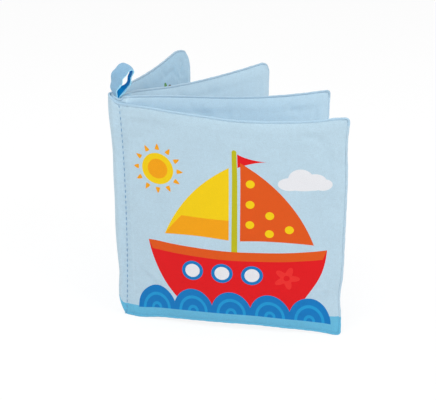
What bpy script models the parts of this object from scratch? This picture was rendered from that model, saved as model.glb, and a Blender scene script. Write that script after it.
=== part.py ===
"""Baby cloth book: four padded fabric leaves, fanned open and standing on their lower edges.

The book is two padded spreads, one nested in the other. Each spread is an outer cloth, a sheet of
wadding and an inner cloth, sewn together along the edge and turned. Both spreads are folded at the
spine, and one line of stitching beside the fold holds them and the tails of a tape loop.

Each leaf turns about a vertical axis just past the stitching. The front cover and leaf 2 share one
axis, leaf 3 and the back cover the other. Metres, +Z up; the origin is the middle of the spine's
foot, +X points from the spine to the front cover's free edge and +Y to the back cover's side.
"""

import math

import bmesh
import bpy
from mathutils import Vector

# Cloth, wadding and clearances
CLOTH = 0.00035
CLEARANCE = 0.0003

# Height of a page at its free edge
PAGE_HEIGHT = 0.140

# Padding of a page: its thickness at the seam and in the middle, and the run between the two,
# which is longer beside the spine, where the stitching presses the leaves together
RIM_THICKNESS = 0.0011
PAD_THICKNESS = 0.0038
PAD_RUN = 0.022
ROOT_RUN = 0.050

# How far the free edge draws in between its corners, and how deep the corner on the floor is cut flat
FREE_EDGE_SAG = 0.0008
FOOT_CUT = 0.0005

# The stitches also pull the top of each root down again, over a short run
TUCK_SHARE = 0.45
TUCK_RUN = 0.0050

# Rolled seam that closes a page along its three free edges
SEAM_WIDTH = 0.0012
SEAM_THICKNESS = 0.0010

# Least thickness of the wadding, at its rim
WADDING_LEAST = 0.0003

# Roots of the leaves: the spacing of the two that share an axis, how far each axis lies from the
# fold's mid plane, and how far the outer cloth reaches back past its axis
ROOT_PITCH = 0.0014
HINGE_SPREAD = 0.0019
ROOT_LAP = 0.0004

# Spine: how far its stitch line lies from the origin, and the hinge axes from the stitch line
STITCH_X = -0.0012
HINGE_REACH = 0.0040
HINGE_CLEARANCE = 0.00165
SPINE_DEPTH = 0.0070
SPINE_CORE = 0.00045
SPINE_WADDING = 0.0007
SPINE_TAPER = 0.0018
PINCH_SHARE = 0.55
PINCH_RUN = 0.0030

# Spine ends: the fold draws in at the foot and climbs at the top
FOOT_DRAW = 0.0010
FOOT_RUN = 0.0060
FOOT_SHARE = 0.80
FRONT_TOP_RISE = 0.0010
FOLD_TOP_RISE = 0.0065
BACK_TOP_RISE = 0.0050
INNER_RISE_SHARE = 0.25
WADDING_SETBACK = 0.0008

# Stitching beside the fold
STITCH_PITCH = 0.0036
STITCH_FROM_END = 0.0025
STITCH_BOW = 0.0015
THREAD = 0.0004
THREAD_WAVE = 0.00008

# Tape loop at the top of the spine
TAPE_THICKNESS = 0.00045
TAPE_WIDTH = 0.010
TAPE_ROOT_WIDTH = 0.0034
TAPE_ROOT_X = -0.0010
TAPE_ROOT_RISE = 0.0042
TAPE_GATHER = 0.0085
TAIL_LENGTH = 0.012
TAIL_CLEARANCE = 0.0005
LOOP_HEIGHT = 0.0215
LOOP_HALF_WIDTH = 0.0072
LOOP_LEAN = 0.0028
LOOP_YAW = math.radians(-24)
LOOP_PINCH = 1.0
LOOP_AXIS_LIFT = 0.0003

# Counts of facets
PAGE_CELLS = 11
WADDING_MARGIN = 1
CORNER_STEPS = 3
LEG_STEPS = 3
NOSE_STEPS = 6
LOOP_STEPS = 26
TAPE_STEPS = 3
STITCH_STEPS = 3

# Heights of a spine strip's rows, as shares of its height
SPINE_ROW_SHARES = (0.0, 0.02, 0.05, 0.10, 0.40, 0.75, 0.94, 1.0)

# Where the crowded rows of a page sit: 0 spaces them evenly, 1 crowds them at the edges
CROWD_SHARE = 0.45

# Shape of the top edges: a skew above 1 moves the dip towards the free edge, and the power says how
# quickly the climb at the root fades
DIP_SKEW = 1.5
RISE_POWER = 1.5

# Each leaf at rest. "side" is the side of its axis that it hangs from, "reach" its width from the
# axis, "sag" and "dip" how far its foot and its top draw in, "bow" and "root_bow" how far it curves
# as a whole and near the root, "root_rise" and "free_rise" how far its top climbs at either end,
# "rise_run" the run of the climb at the root, and "corner" the radius of its free corners
LEAVES = {
    "front_cover": {
        "side": -1, "angle": 1.2, "reach": 0.1350, "sag": 0.0036, "dip": 0.0036, "bow": -0.0060,
        "root_bow": 0.0, "root_rise": 0.0017, "free_rise": 0.0004, "rise_run": 0.120, "corner": 0.0018,
    },
    "leaf_2": {
        "side": 1, "angle": 27.0, "reach": 0.1310, "sag": 0.0024, "dip": 0.0031, "bow": 0.0035,
        "root_bow": 0.0, "root_rise": 0.0060, "free_rise": 0.0008, "rise_run": 0.075, "corner": 0.0026,
    },
    "leaf_3": {
        "side": -1, "angle": 60.2, "reach": 0.1335, "sag": 0.0018, "dip": 0.0017, "bow": 0.0050,
        "root_bow": 0.0, "root_rise": 0.0077, "free_rise": 0.0037, "rise_run": 0.039, "corner": 0.0088,
    },
    "back_cover": {
        "side": 1, "angle": 87.0, "reach": 0.1325, "sag": 0.0018, "dip": 0.0041, "bow": 0.0060,
        "root_bow": 0.0010, "root_rise": 0.0092, "free_rise": 0.0138, "rise_run": 0.043, "corner": 0.0270,
    },
}

# Colours of the cloth, thread and tape, as linear red, green and blue
PALE_BLUE = (0.48, 0.66, 0.77)
SOFT_BLUE = (0.40, 0.60, 0.74)
WADDING_WHITE = (0.80, 0.80, 0.78)
THREAD_BLUE = (0.16, 0.35, 0.58)
TAPE_BLUE = (0.30, 0.50, 0.71)


def clear_scene():
    for thing in list(bpy.data.objects):
        bpy.data.objects.remove(thing, do_unlink=True)


def material(name, colour, roughness):
    found = bpy.data.materials.get(name)
    if found:
        return found
    made = bpy.data.materials.new(name)
    made.use_nodes = True
    shader = made.node_tree.nodes["Principled BSDF"]
    shader.inputs["Base Color"].default_value = (*colour, 1.0)
    shader.inputs["Roughness"].default_value = roughness
    shader.inputs["Metallic"].default_value = 0.0
    return made


def axis_empty(name, place, turn, parent):
    """An empty on a joint's axis, placed in its parent's frame."""
    empty = bpy.data.objects.new(name, None)
    bpy.context.scene.collection.objects.link(empty)
    empty.parent = parent
    empty.location = place
    empty.rotation_euler = (0.0, 0.0, turn)
    return empty


def solid(name, rings, parent, finish, smooth=True):
    """One closed body from rings of points that each go once round it, with both ends capped."""
    shape = bmesh.new()
    made = [[shape.verts.new(point) for point in ring] for ring in rings]
    count = len(rings[0])
    for lower, upper in zip(made, made[1:]):
        for k in range(count):
            beside = (k + 1) % count
            shape.faces.new((lower[k], lower[beside], upper[beside], upper[k]))
    return finished(name, shape, made, parent, finish, smooth)


def slab(name, front, back, parent, finish):
    """One closed body between two grids of points, each a list of columns of the same length."""
    shape = bmesh.new()
    sides = [[[shape.verts.new(point) for point in column] for column in grid] for grid in (front, back)]
    across = len(front) - 1
    along = len(front[0]) - 1
    for i in range(across):
        for j in range(along):
            for grid in sides:
                shape.faces.new((grid[i][j], grid[i + 1][j], grid[i + 1][j + 1], grid[i][j + 1]))
    rim = [(i, 0) for i in range(across)]
    rim += [(across, j) for j in range(along)]
    rim += [(i, along) for i in range(across, 0, -1)]
    rim += [(0, j) for j in range(along, 0, -1)]
    for (i, j), (k, m) in zip(rim, rim[1:] + rim[:1]):
        shape.faces.new((sides[0][i][j], sides[0][k][m], sides[1][k][m], sides[1][i][j]))
    return finished(name, shape, None, parent, finish, True)


def finished(name, shape, rings, parent, finish, smooth):
    """Caps the rings, turns every face outwards and makes the object."""
    if rings:
        shape.faces.new(rings[0])
        shape.faces.new(rings[-1])
    bmesh.ops.recalc_face_normals(shape, faces=shape.faces)
    mesh = bpy.data.meshes.new(name)
    shape.to_mesh(mesh)
    shape.free()
    mesh.materials.append(finish)
    if smooth:
        mesh.shade_smooth()
        mesh.set_sharp_from_angle(angle=math.radians(40))
    made = bpy.data.objects.new(name, mesh)
    bpy.context.scene.collection.objects.link(made)
    made.parent = parent
    return made


def smooth_step(share):
    """A soft ramp from 0 to 1, flat at both ends."""
    share = min(1.0, max(0.0, share))
    return share * share * (3.0 - 2.0 * share)


def crowded(count):
    """Shares from 0 to 1 that sit closer together towards both ends."""
    shares = []
    for k in range(count + 1):
        even = k / count
        wave = (1.0 - math.cos(math.pi * even)) / 2.0
        shares.append(even + CROWD_SHARE * (wave - even))
    return shares


def page_foot(leaf, u):
    share = min(1.0, max(0.0, u / leaf["reach"]))
    return leaf["sag"] * math.sin(math.pi * share) - FOOT_CUT * smooth_step(share)


def page_top(leaf, u):
    share = min(1.0, max(0.0, u / leaf["reach"]))
    dip = leaf["dip"] * math.sin(math.pi * share ** DIP_SKEW)
    tuck = 1.0 - TUCK_SHARE * math.exp(-((u / TUCK_RUN) ** 2))
    root = tuck * leaf["root_rise"] * math.exp(-((max(0.0, u) / leaf["rise_run"]) ** RISE_POWER))
    return PAGE_HEIGHT - dip + root + leaf["free_rise"] * share


def page_end(leaf, z):
    share = min(1.0, max(0.0, z / PAGE_HEIGHT))
    return leaf["reach"] - FREE_EDGE_SAG * math.sin(math.pi * share)


def page_middle(leaf, u):
    """Offset of a page's mid surface from the plane through its hinge axis."""
    share = u / leaf["reach"]
    inside = min(1.0, max(0.0, share))
    bow = leaf["bow"] * math.sin(math.pi * share)
    near_root = leaf["root_bow"] * math.sin(math.pi * (1.0 - (1.0 - inside) ** 2))
    return leaf["side"] * ROOT_PITCH / 2 + bow + near_root


def page_half(leaf, u, z):
    """Half the thickness of a page: thin along its seams and at its root, full in the middle."""
    edges = (page_end(leaf, z) - u, z - page_foot(leaf, u), page_top(leaf, u) - z)
    full = 1.0
    for depth in [u / ROOT_RUN] + [edge / PAD_RUN for edge in edges]:
        share = min(1.0, max(0.0, depth))
        full *= 1.0 - (1.0 - share) ** 2
    return (RIM_THICKNESS + (PAD_THICKNESS - RIM_THICKNESS) * full) / 2


def page_point(leaf, across, up, inset, start):
    """Place on a page, from shares of its width and height, with its free corners rounded."""
    end = page_end(leaf, up * PAGE_HEIGHT) - inset
    u = start + across * (end - start)
    foot = page_foot(leaf, u) + inset
    top = page_top(leaf, u) - inset
    z = foot + up * (top - foot)
    radius = leaf["corner"] - inset
    if radius <= 0.0:
        return u, z
    reach = u - (end - radius)
    for level, sense in ((top, 1), (foot, -1)):
        climb = sense * (z - level) + radius
        if reach > 0.0 and climb > 0.0:
            shrink = max(reach, climb) / math.hypot(reach, climb)
            u = end - radius + reach * shrink
            z = level + sense * (climb * shrink - radius)
    return u, z


def page_grid(leaf, start, offset, margin=0):
    """Columns of points over a page, each moved off the mid surface by what offset gives.

    The margin is the number of rows left out along every edge.
    """
    grid = []
    shares = crowded(PAGE_CELLS)[margin:PAGE_CELLS + 1 - margin]
    for across in shares:
        column = []
        for up in shares:
            u, z = page_point(leaf, across, up, SEAM_WIDTH + CLEARANCE, start)
            n = page_middle(leaf, u) + offset(page_half(leaf, u, z))
            column.append((u, n, max(0.0, z)))
        grid.append(column)
    return grid


def page_cloth(name, leaf, facing, parent, finish):
    """One cloth of a page. The one on the outer side of the axis laps a little past it."""
    start = -ROOT_LAP if facing == leaf["side"] else 0.0
    outer = page_grid(leaf, start, lambda half: facing * half)
    inner = page_grid(leaf, start, lambda half: facing * (half - CLOTH))
    return slab(name, outer, inner, parent, finish)


def page_wadding(name, leaf, parent, finish):
    def thick(half):
        return max(WADDING_LEAST / 2, half - CLOTH - CLEARANCE)

    front = page_grid(leaf, 0.0, lambda half: -thick(half), WADDING_MARGIN)
    back = page_grid(leaf, 0.0, thick, WADDING_MARGIN)
    return slab(name, front, back, parent, finish)


def seam_route(leaf):
    """Centre line of the rolled seam: along the top, down the free edge and back along the foot.

    It turns at the same shares as the edge of the cloth, and in smaller steps round the corners.
    """
    inset = SEAM_WIDTH / 2
    radius = max(inset, leaf["corner"])
    wide = radius / leaf["reach"]
    high = radius / PAGE_HEIGHT
    turns = [k / CORNER_STEPS for k in range(CORNER_STEPS + 1)]
    rows = crowded(PAGE_CELLS)
    along_top = [(share, 1.0) for share in rows if share < 1.0 - wide]
    along_top += [(1.0 - wide * (1.0 - turn), 1.0) for turn in turns]
    free_edge = [(1.0, 1.0 - high * turn) for turn in turns[1:]]
    free_edge += [(1.0, share) for share in reversed(rows) if high < share < 1.0 - high]
    free_edge += [(1.0, high * (1.0 - turn)) for turn in turns[:-1]]
    along_foot = [(share, 0.0) for share, _ in reversed(along_top)]
    return [page_point(leaf, across, up, inset, 0.0) for across, up in along_top + free_edge + along_foot]


def page_seam(name, leaf, parent, finish):
    route = seam_route(leaf)
    rings = []
    for k, (u, z) in enumerate(route):
        before = Vector(route[max(0, k - 1)])
        after = Vector(route[min(len(route) - 1, k + 1)])
        along = (after - before).normalized()
        inward = Vector((along.y, -along.x))
        middle = page_middle(leaf, u)
        ring = []
        for wide, thick in ((1, 0), (0, 1), (-1, 0), (0, -1)):
            place = Vector((u, z)) + inward * wide * SEAM_WIDTH / 2
            ring.append((place.x, middle + thick * SEAM_THICKNESS / 2, max(0.0, place.y)))
        rings.append(ring)
    return solid(name, rings, parent, finish)


def build_leaf(name, parent, cloth_names, cloth_finishes, wadding_finish, seam_finish):
    """The two cloths, the wadding and the rolled seam of one leaf, in the frame of its hinge axis."""
    leaf = LEAVES[name]
    page_cloth(f"{name}_{cloth_names[0]}", leaf, -1, parent, cloth_finishes[0])
    page_cloth(f"{name}_{cloth_names[1]}", leaf, 1, parent, cloth_finishes[1])
    page_wadding(f"{name}_wadding", leaf, parent, wadding_finish)
    page_seam(f"{name}_edge_seam", leaf, parent, seam_finish)


def spine_layers():
    """Distances of each strip's inner and outer face from the fold's mid plane, from the middle out."""
    thicknesses = (SPINE_WADDING, CLOTH, CLOTH, SPINE_WADDING, CLOTH)
    layers = []
    face = SPINE_CORE
    for thickness in thicknesses:
        inner = face + CLEARANCE
        face = inner + thickness
        layers.append((inner, face))
    return layers


def spine_end():
    """Where the strips stop, short of what the leaves' roots sweep."""
    return HINGE_REACH - HINGE_CLEARANCE


def foot_share(z):
    """1 at the foot of the spine, falling to 0 above it."""
    return math.exp(-((z / FOOT_RUN) ** 2))


def fold_centre(z):
    """Where the legs of the folded strips turn into the round fold, at a height."""
    outermost = spine_layers()[-1][1]
    taper = SPINE_TAPER * (1.0 - min(1.0, z / PAGE_HEIGHT))
    return outermost - SPINE_DEPTH + taper + FOOT_DRAW * foot_share(z)


def pinch(x):
    """Share of its full thickness that the folded block keeps at x, least at its sewn end."""
    return PINCH_SHARE + (1.0 - PINCH_SHARE) * smooth_step((spine_end() - x) / PINCH_RUN)


def spine_height(along, rise_share):
    """Height of a strip's top edge, from the front leg's end (0) round the fold to the back's (1)."""
    if along < 0.5:
        rise = FRONT_TOP_RISE + (FOLD_TOP_RISE - FRONT_TOP_RISE) * smooth_step(2.0 * along)
    else:
        rise = FOLD_TOP_RISE + (BACK_TOP_RISE - FOLD_TOP_RISE) * smooth_step(2.0 * along - 1.0)
    return PAGE_HEIGHT + rise_share * rise


def spine_column(radius, along, rise_share, foot, setback):
    """Points up one line of a folded strip, at a distance from the fold's mid plane."""
    column = []
    top = spine_height(along, rise_share) - setback
    leg = LEG_STEPS / (2 * LEG_STEPS + NOSE_STEPS)
    for row in SPINE_ROW_SHARES:
        z = foot + row * (top - foot)
        shrink = 1.0 - (1.0 - FOOT_SHARE) * foot_share(z)
        centre = fold_centre(z)
        if along < leg or along > 1.0 - leg:
            side = -1.0 if along < leg else 1.0
            share = along / leg if side < 0.0 else (1.0 - along) / leg
            x = spine_end() + share * (centre - spine_end())
            y = side * radius * shrink * pinch(x)
        else:
            turn = math.pi * (along - leg) / (1.0 - 2.0 * leg)
            x = centre - radius * shrink * math.sin(turn)
            y = -radius * shrink * math.cos(turn) * pinch(centre)
        column.append((x, y, z))
    return column


def spine_strip(name, faces, rise_share, setback, parent, finish):
    """One cloth or wadding strip, folded round everything nearer to the middle."""
    steps = 2 * LEG_STEPS + NOSE_STEPS
    grids = []
    for radius in faces:
        grids.append([spine_column(radius, k / steps, rise_share, setback, setback) for k in range(steps + 1)])
    return slab(name, grids[1], grids[0], parent, finish)


def core_fold(name, parent, finish):
    """The innermost cloth, folded flat on itself; the tape's tails stand on it."""
    rings = []
    top = PAGE_HEIGHT + TAPE_ROOT_RISE - TAIL_LENGTH - TAIL_CLEARANCE - CLEARANCE
    for row in SPINE_ROW_SHARES:
        z = row * top
        back = fold_centre(z)
        end = spine_end()
        shrink = 1.0 - (1.0 - FOOT_SHARE) * foot_share(z)
        deep, thin = (SPINE_CORE * shrink * pinch(x) for x in (back, end))
        rings.append([(back, -deep, z), (end, -thin, z), (end, thin, z), (back, deep, z)])
    return solid(name, rings, parent, finish, smooth=False)


def loop_tails(name, parent, finish):
    """Both ends of the tape, laid together and caught by the stitching."""
    top = PAGE_HEIGHT + TAPE_ROOT_RISE - TAIL_CLEARANCE
    half_width = TAPE_ROOT_WIDTH / 2
    rings = []
    for z in (top - TAIL_LENGTH, top):
        half = SPINE_CORE * PINCH_SHARE
        left, right = TAPE_ROOT_X - half_width, TAPE_ROOT_X + half_width
        rings.append([(left, -half, z), (right, -half, z), (right, half, z), (left, half, z)])
    return solid(name, rings, parent, finish, smooth=False)


def stitching(name, side, parent, finish):
    """One side's thread of the line of stitching, in the valley that it pulls into the cloth."""
    cover = spine_layers()[-1][1]
    last = PAGE_HEIGHT - STITCH_FROM_END
    count = int((last - STITCH_FROM_END) / STITCH_PITCH)
    pitch = (last - STITCH_FROM_END) / count
    rings = []
    for k in range(count * STITCH_STEPS + 1):
        z = STITCH_FROM_END + k * pitch / STITCH_STEPS
        shrink = 1.0 - (1.0 - FOOT_SHARE) * foot_share(z)
        x = STITCH_BOW * math.sin(math.pi * z / PAGE_HEIGHT)
        surface = cover * shrink * pinch(x)
        wave = THREAD_WAVE * (1.0 - math.cos(2.0 * math.pi * k / STITCH_STEPS))
        y = side * (surface + CLEARANCE + THREAD / 2 + wave)
        corners = ((1, 0), (0, 1), (-1, 0), (0, -1))
        rings.append([(x + a * THREAD / 2, y + b * THREAD / 2, z) for a, b in corners])
    return solid(name, rings, parent, finish)


def tape_frame(share):
    """Centre, width direction and width of the tape at a share of its way round the loop."""
    climb = LOOP_HEIGHT * (1.0 - math.cos(2.0 * math.pi * share)) / 2.0
    gather = smooth_step(climb / TAPE_GATHER)
    yaw = LOOP_YAW * gather
    wide = Vector((math.cos(yaw), math.sin(yaw), 0.0))
    deep = Vector((-math.sin(yaw), math.cos(yaw), 0.0))
    root = (TAPE_THICKNESS + CLEARANCE) / 2
    swell = LOOP_HALF_WIDTH * math.sin(2.0 * math.pi * share) * math.sin(math.pi * share) ** LOOP_PINCH
    out = -swell - root * math.cos(math.pi * share)
    centre = deep * out + Vector((TAPE_ROOT_X + LOOP_LEAN * gather, 0.0, climb))
    return centre, wide, TAPE_ROOT_WIDTH + (TAPE_WIDTH - TAPE_ROOT_WIDTH) * gather


def hanging_loop(name, parent, finish):
    """The tape from one tail up, over and back down to the other."""
    frames = [tape_frame(k / LOOP_STEPS) for k in range(LOOP_STEPS + 1)]
    drop = Vector((TAPE_ROOT_X, 0.0, LOOP_AXIS_LIFT))
    rings = []
    for k, (centre, wide, width) in enumerate(frames):
        before = frames[max(0, k - 1)][0]
        after = frames[min(LOOP_STEPS, k + 1)][0]
        along = (after - before).normalized()
        if k in (0, LOOP_STEPS):
            along = Vector((0.0, 0.0, 1.0 if k == 0 else -1.0))
        out = wide.cross(along).normalized()
        ring = []
        for side in (1, -1):
            for step in range(TAPE_STEPS + 1):
                reach = side * (step / TAPE_STEPS - 0.5) * width
                ring.append(centre - drop + wide * reach + out * side * TAPE_THICKNESS / 2)
        rings.append(ring)
    return solid(name, rings, parent, finish)


def build_spine(parent, cloth, lining, wadding, thread, tape):
    """The folded strips of both spreads beside the fold, the tape's tails and the stitching."""
    layers = spine_layers()
    inner = INNER_RISE_SHARE
    core_fold("inner_spread_fold_lining", parent, lining)
    spine_strip("inner_spread_fold_wadding", layers[0], inner, WADDING_SETBACK, parent, wadding)
    spine_strip("inner_spread_fold_cloth", layers[1], inner, 0.0, parent, lining)
    spine_strip("spine_lining_cloth", layers[2], 1.0, 0.0, parent, lining)
    spine_strip("spine_wadding", layers[3], 1.0, WADDING_SETBACK, parent, wadding)
    spine_strip("spine_cover_cloth", layers[4], 1.0, 0.0, parent, cloth)
    loop_tails("hanging_loop_tails", parent, tape)
    stitching("spine_stitching_front", -1, parent, thread)
    stitching("spine_stitching_back", 1, parent, thread)


def main():
    clear_scene()
    cover = material("cover cloth", PALE_BLUE, 0.85)
    lining = material("page cloth", SOFT_BLUE, 0.85)
    wadding = material("wadding", WADDING_WHITE, 0.95)
    thread = material("sewing thread", THREAD_BLUE, 0.6)
    tape = material("tape", TAPE_BLUE, 0.7)

    stitch_line = axis_empty("stitch_line", (STITCH_X, 0.0, 0.0), 0.0, None)
    build_spine(stitch_line, cover, lining, wadding, thread, tape)

    angles = {name: math.radians(leaf["angle"]) for name, leaf in LEAVES.items()}
    front_axis = (HINGE_REACH, -HINGE_SPREAD, 0.0)
    back_axis = (HINGE_REACH, HINGE_SPREAD, 0.0)
    leaf_2 = axis_empty("leaf_2_axis", front_axis, angles["leaf_2"], stitch_line)
    leaf_3 = axis_empty("leaf_3_axis", back_axis, angles["leaf_3"], stitch_line)
    front_turn = angles["front_cover"] - angles["leaf_2"]
    back_turn = angles["back_cover"] - angles["leaf_3"]
    front_cover = axis_empty("front_cover_axis", (0.0, 0.0, 0.0), front_turn, leaf_2)
    back_cover = axis_empty("back_cover_axis", (0.0, 0.0, 0.0), back_turn, leaf_3)

    build_leaf("front_cover", front_cover, ("outer_cloth", "inner_cloth"), (cover, lining), wadding, cover)
    build_leaf("leaf_2", leaf_2, ("front_cloth", "back_cloth"), (lining, lining), wadding, lining)
    build_leaf("leaf_3", leaf_3, ("front_cloth", "back_cloth"), (lining, lining), wadding, lining)
    build_leaf("back_cover", back_cover, ("inner_cloth", "outer_cloth"), (lining, cover), wadding, cover)

    loop_height = PAGE_HEIGHT + TAPE_ROOT_RISE + LOOP_AXIS_LIFT
    loop_axis = axis_empty("hanging_loop_axis", (TAPE_ROOT_X, 0.0, loop_height), 0.0, stitch_line)
    hanging_loop("hanging_loop", loop_axis, tape)


main()
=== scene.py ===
# %% [markdown]
# # A padded cloth book, dressed on its frame
# The book is two padded spreads, one inside the other, folded and sewn together beside the fold.
# The frame gives the solids and their hinges. This file gives the soft shapes, the cloth, the print,
# the stitches and the light. It starts by loading the frame.

# %% Load the frame
import math
import bmesh
import bpy
import numpy as np
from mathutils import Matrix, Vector
from mathutils.geometry import delaunay_2d_cdt


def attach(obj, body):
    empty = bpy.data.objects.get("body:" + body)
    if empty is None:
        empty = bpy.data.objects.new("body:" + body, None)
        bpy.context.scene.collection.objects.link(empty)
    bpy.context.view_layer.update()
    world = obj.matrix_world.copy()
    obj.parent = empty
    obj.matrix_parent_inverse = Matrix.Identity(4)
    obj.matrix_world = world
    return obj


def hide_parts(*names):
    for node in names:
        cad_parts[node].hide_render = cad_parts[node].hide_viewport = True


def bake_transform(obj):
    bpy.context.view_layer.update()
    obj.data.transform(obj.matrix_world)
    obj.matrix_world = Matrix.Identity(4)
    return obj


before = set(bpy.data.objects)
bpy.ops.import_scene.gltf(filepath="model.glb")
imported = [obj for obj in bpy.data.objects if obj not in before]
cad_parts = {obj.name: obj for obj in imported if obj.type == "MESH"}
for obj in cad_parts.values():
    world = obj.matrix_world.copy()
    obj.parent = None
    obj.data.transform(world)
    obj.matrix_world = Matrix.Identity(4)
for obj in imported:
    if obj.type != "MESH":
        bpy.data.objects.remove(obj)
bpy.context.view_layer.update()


MM = 0.001
scene = bpy.context.scene

# %% [markdown]
# ## Camera
# The camera stands a little to the right of the front cover and above it, as a person who picks the
# book from a table would. A long lens at arm's length keeps the leaves' upright edges almost parallel.

# %% Camera
VIEW_TURN = math.radians(12.6)
VIEW_TILT = math.radians(21.2)
VIEW_DISTANCE = 0.623
VIEW_AIM = Vector((0.0596, 0.0, 0.0837))
SENSOR_WIDTH = 36.0
FOCAL_LENGTH = 1022.0 / 436.0 * SENSOR_WIDTH
back_to_eye = Vector((
    math.sin(VIEW_TURN) * math.cos(VIEW_TILT),
    -math.cos(VIEW_TURN) * math.cos(VIEW_TILT),
    math.sin(VIEW_TILT),
))


def add_object(name, data):
    """A new object in the scene."""
    made = bpy.data.objects.new(name, data)
    scene.collection.objects.link(made)
    return made


camera_data = bpy.data.cameras.new("camera")
camera_data.sensor_fit = "HORIZONTAL"
camera_data.sensor_width = SENSOR_WIDTH
camera_data.lens = FOCAL_LENGTH
camera = add_object("camera", camera_data)
camera.location = VIEW_AIM + back_to_eye * VIEW_DISTANCE
camera.rotation_euler = back_to_eye.to_track_quat("Z", "Y").to_euler()
scene.camera = camera
print("camera at", [round(v, 3) for v in camera.location])

# %% [markdown]
# ## Where each leaf hangs
# A leaf is drawn flat first: u runs from its hinge to its free edge, z runs up, and n is the distance
# from the plane through the hinge. One function then turns it to its place beside the spine.

# %% Leaves at rest
HEIGHT_MM = 140.0
HEIGHT = HEIGHT_MM * MM
# The hinges stand at this x, and this far to either side of the middle plane, in millimetres.
HINGE_X, HINGE_Y = 2.8, 1.9
AXIS_X, AXIS_Y = HINGE_X * MM, HINGE_Y * MM
ROOT_PITCH = 1.4 * MM
LEAVES = {
    "front_cover": dict(side=-1, hinge=-1, angle=1.2, reach=135.0, sag=3.6, dip=3.5, bow=-6.0, root_bow=0.0,
                        root_rise=1.7, free_rise=0.6, rise_run=115.0, corner=2.8),
    "leaf_2": dict(side=1, hinge=-1, angle=27.0, reach=131.0, sag=2.4, dip=3.1, bow=3.5, root_bow=0.0,
                   root_rise=6.0, free_rise=0.8, rise_run=75.0, corner=3.0),
    "leaf_3": dict(side=-1, hinge=1, angle=60.2, reach=133.6, sag=1.8, dip=1.7, bow=5.0, root_bow=0.0,
                   root_rise=7.7, free_rise=3.7, rise_run=38.5, corner=8.4),
    "back_cover": dict(side=1, hinge=1, angle=87.0, reach=132.4, sag=1.8, dip=4.1, bow=6.0, root_bow=1.0,
                       root_rise=10.2, free_rise=13.8, rise_run=42.7, corner=27.5),
}
for leaf in LEAVES.values():
    for key in leaf.keys() - {"side", "hinge", "angle"}:
        leaf[key] *= MM


def smooth(share):
    share = np.clip(share, 0.0, 1.0)
    return share * share * (3.0 - 2.0 * share)


def placed(leaf, u, n, z):
    """World places of points given along, off and up a leaf."""
    turn = math.radians(leaf["angle"])
    x = AXIS_X + u * math.cos(turn) - n * math.sin(turn)
    y = leaf["hinge"] * AXIS_Y + u * math.sin(turn) + n * math.cos(turn)
    return np.stack([x, y, z + 0.0 * x], axis=-1)


print("leaves:", ", ".join(LEAVES))

# %% [markdown]
# ## The outline and the swell of a padded page
# Wadding pulls the long edges of a page in between its corners. Near a seam the page is as thin as
# four layers of cloth, and the turned-in allowances show as a low step a few millimetres inside it.

# %% Outline and thickness of a page
RIM = 1.2 * MM
PAD = 3.8 * MM
PAD_RUN = 22.0 * MM
ROOT_RUN = 50.0 * MM
ALLOWANCE = 7.2 * MM
ALLOWANCE_STEP = 0.30 * MM


def bump(value, place, width):
    """1 at a place and falling off to both sides of it."""
    return np.exp(-(((value - place) / width) ** 2))


def bumps(value, *rows):
    """A sum of bumps, each given as its height, place and width in millimetres."""
    return sum(high * MM * bump(value, place * MM, width * MM) for high, place, width in rows)


def page_foot(leaf, u):
    share = np.clip(u / leaf["reach"], 0.0, 1.0)
    rise = leaf["sag"] * np.sin(math.pi * share) - 0.5 * MM * smooth(share)
    if leaf is LEAVES["front_cover"]:
        rise = rise + bumps(u, (0.7, 113.0, 14.0), (-0.5, 7.0, 6.0), (0.8, 84.0, 18.0))
        between = smooth((u - 12.0 * MM) / (8.0 * MM)) * (1.0 - smooth((u - 124.0 * MM) / (8.0 * MM)))
        rise = rise + 0.6 * MM * between
    return rise


def page_top(leaf, u):
    share = np.clip(u / leaf["reach"], 0.0, 1.0)
    root = leaf["root_rise"] * np.exp(-((np.clip(u, 0.0, None) / leaf["rise_run"]) ** 1.5))
    top = HEIGHT - leaf["dip"] * np.sin(math.pi * share ** 1.5) + root + leaf["free_rise"] * share
    if leaf is LEAVES["front_cover"]:
        top = top + bumps(u, (-0.8, 66.0, 20.0), (-0.5, 32.0, 12.0), (0.5, 126.0, 7.0))
    return top


def page_end(leaf, z):
    if leaf is LEAVES["front_cover"]:
        return leaf["reach"] + bumps(z, (-1.1, 124.0, 14.0), (-1.3, 26.0, 10.0))
    end = leaf["reach"] - 0.8 * MM * np.sin(math.pi * np.clip(z / HEIGHT, 0.0, 1.0))
    return end + bumps(z, (-0.8, HEIGHT_MM, 6.0)) if leaf is LEAVES["back_cover"] else end


def edge_distances(leaf, u, z):
    """How far points of a page lie inside its free edge, its foot and its top."""
    return page_end(leaf, z) - u, z - page_foot(leaf, u), page_top(leaf, u) - z


def page_middle(leaf, u):
    share = u / leaf["reach"]
    inside = np.clip(share, 0.0, 1.0)
    near_root = leaf["root_bow"] * np.sin(math.pi * (1.0 - (1.0 - inside) ** 2))
    return leaf["side"] * ROOT_PITCH / 2 + leaf["bow"] * np.sin(math.pi * share) + near_root


def page_half(leaf, u, z):
    full = 1.0
    edges = edge_distances(leaf, u, z)
    for depth in [u / ROOT_RUN] + [edge / PAD_RUN for edge in edges]:
        full = full * (1.0 - (1.0 - np.clip(depth, 0.0, 1.0)) ** 2)
    nearest = np.minimum.reduce(edges)
    step = ALLOWANCE_STEP * (1.0 - smooth((nearest - ALLOWANCE) / (2.2 * MM))) * smooth(nearest / (3.0 * MM))
    return (RIM + (PAD - RIM) * full) / 2 + step


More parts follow.
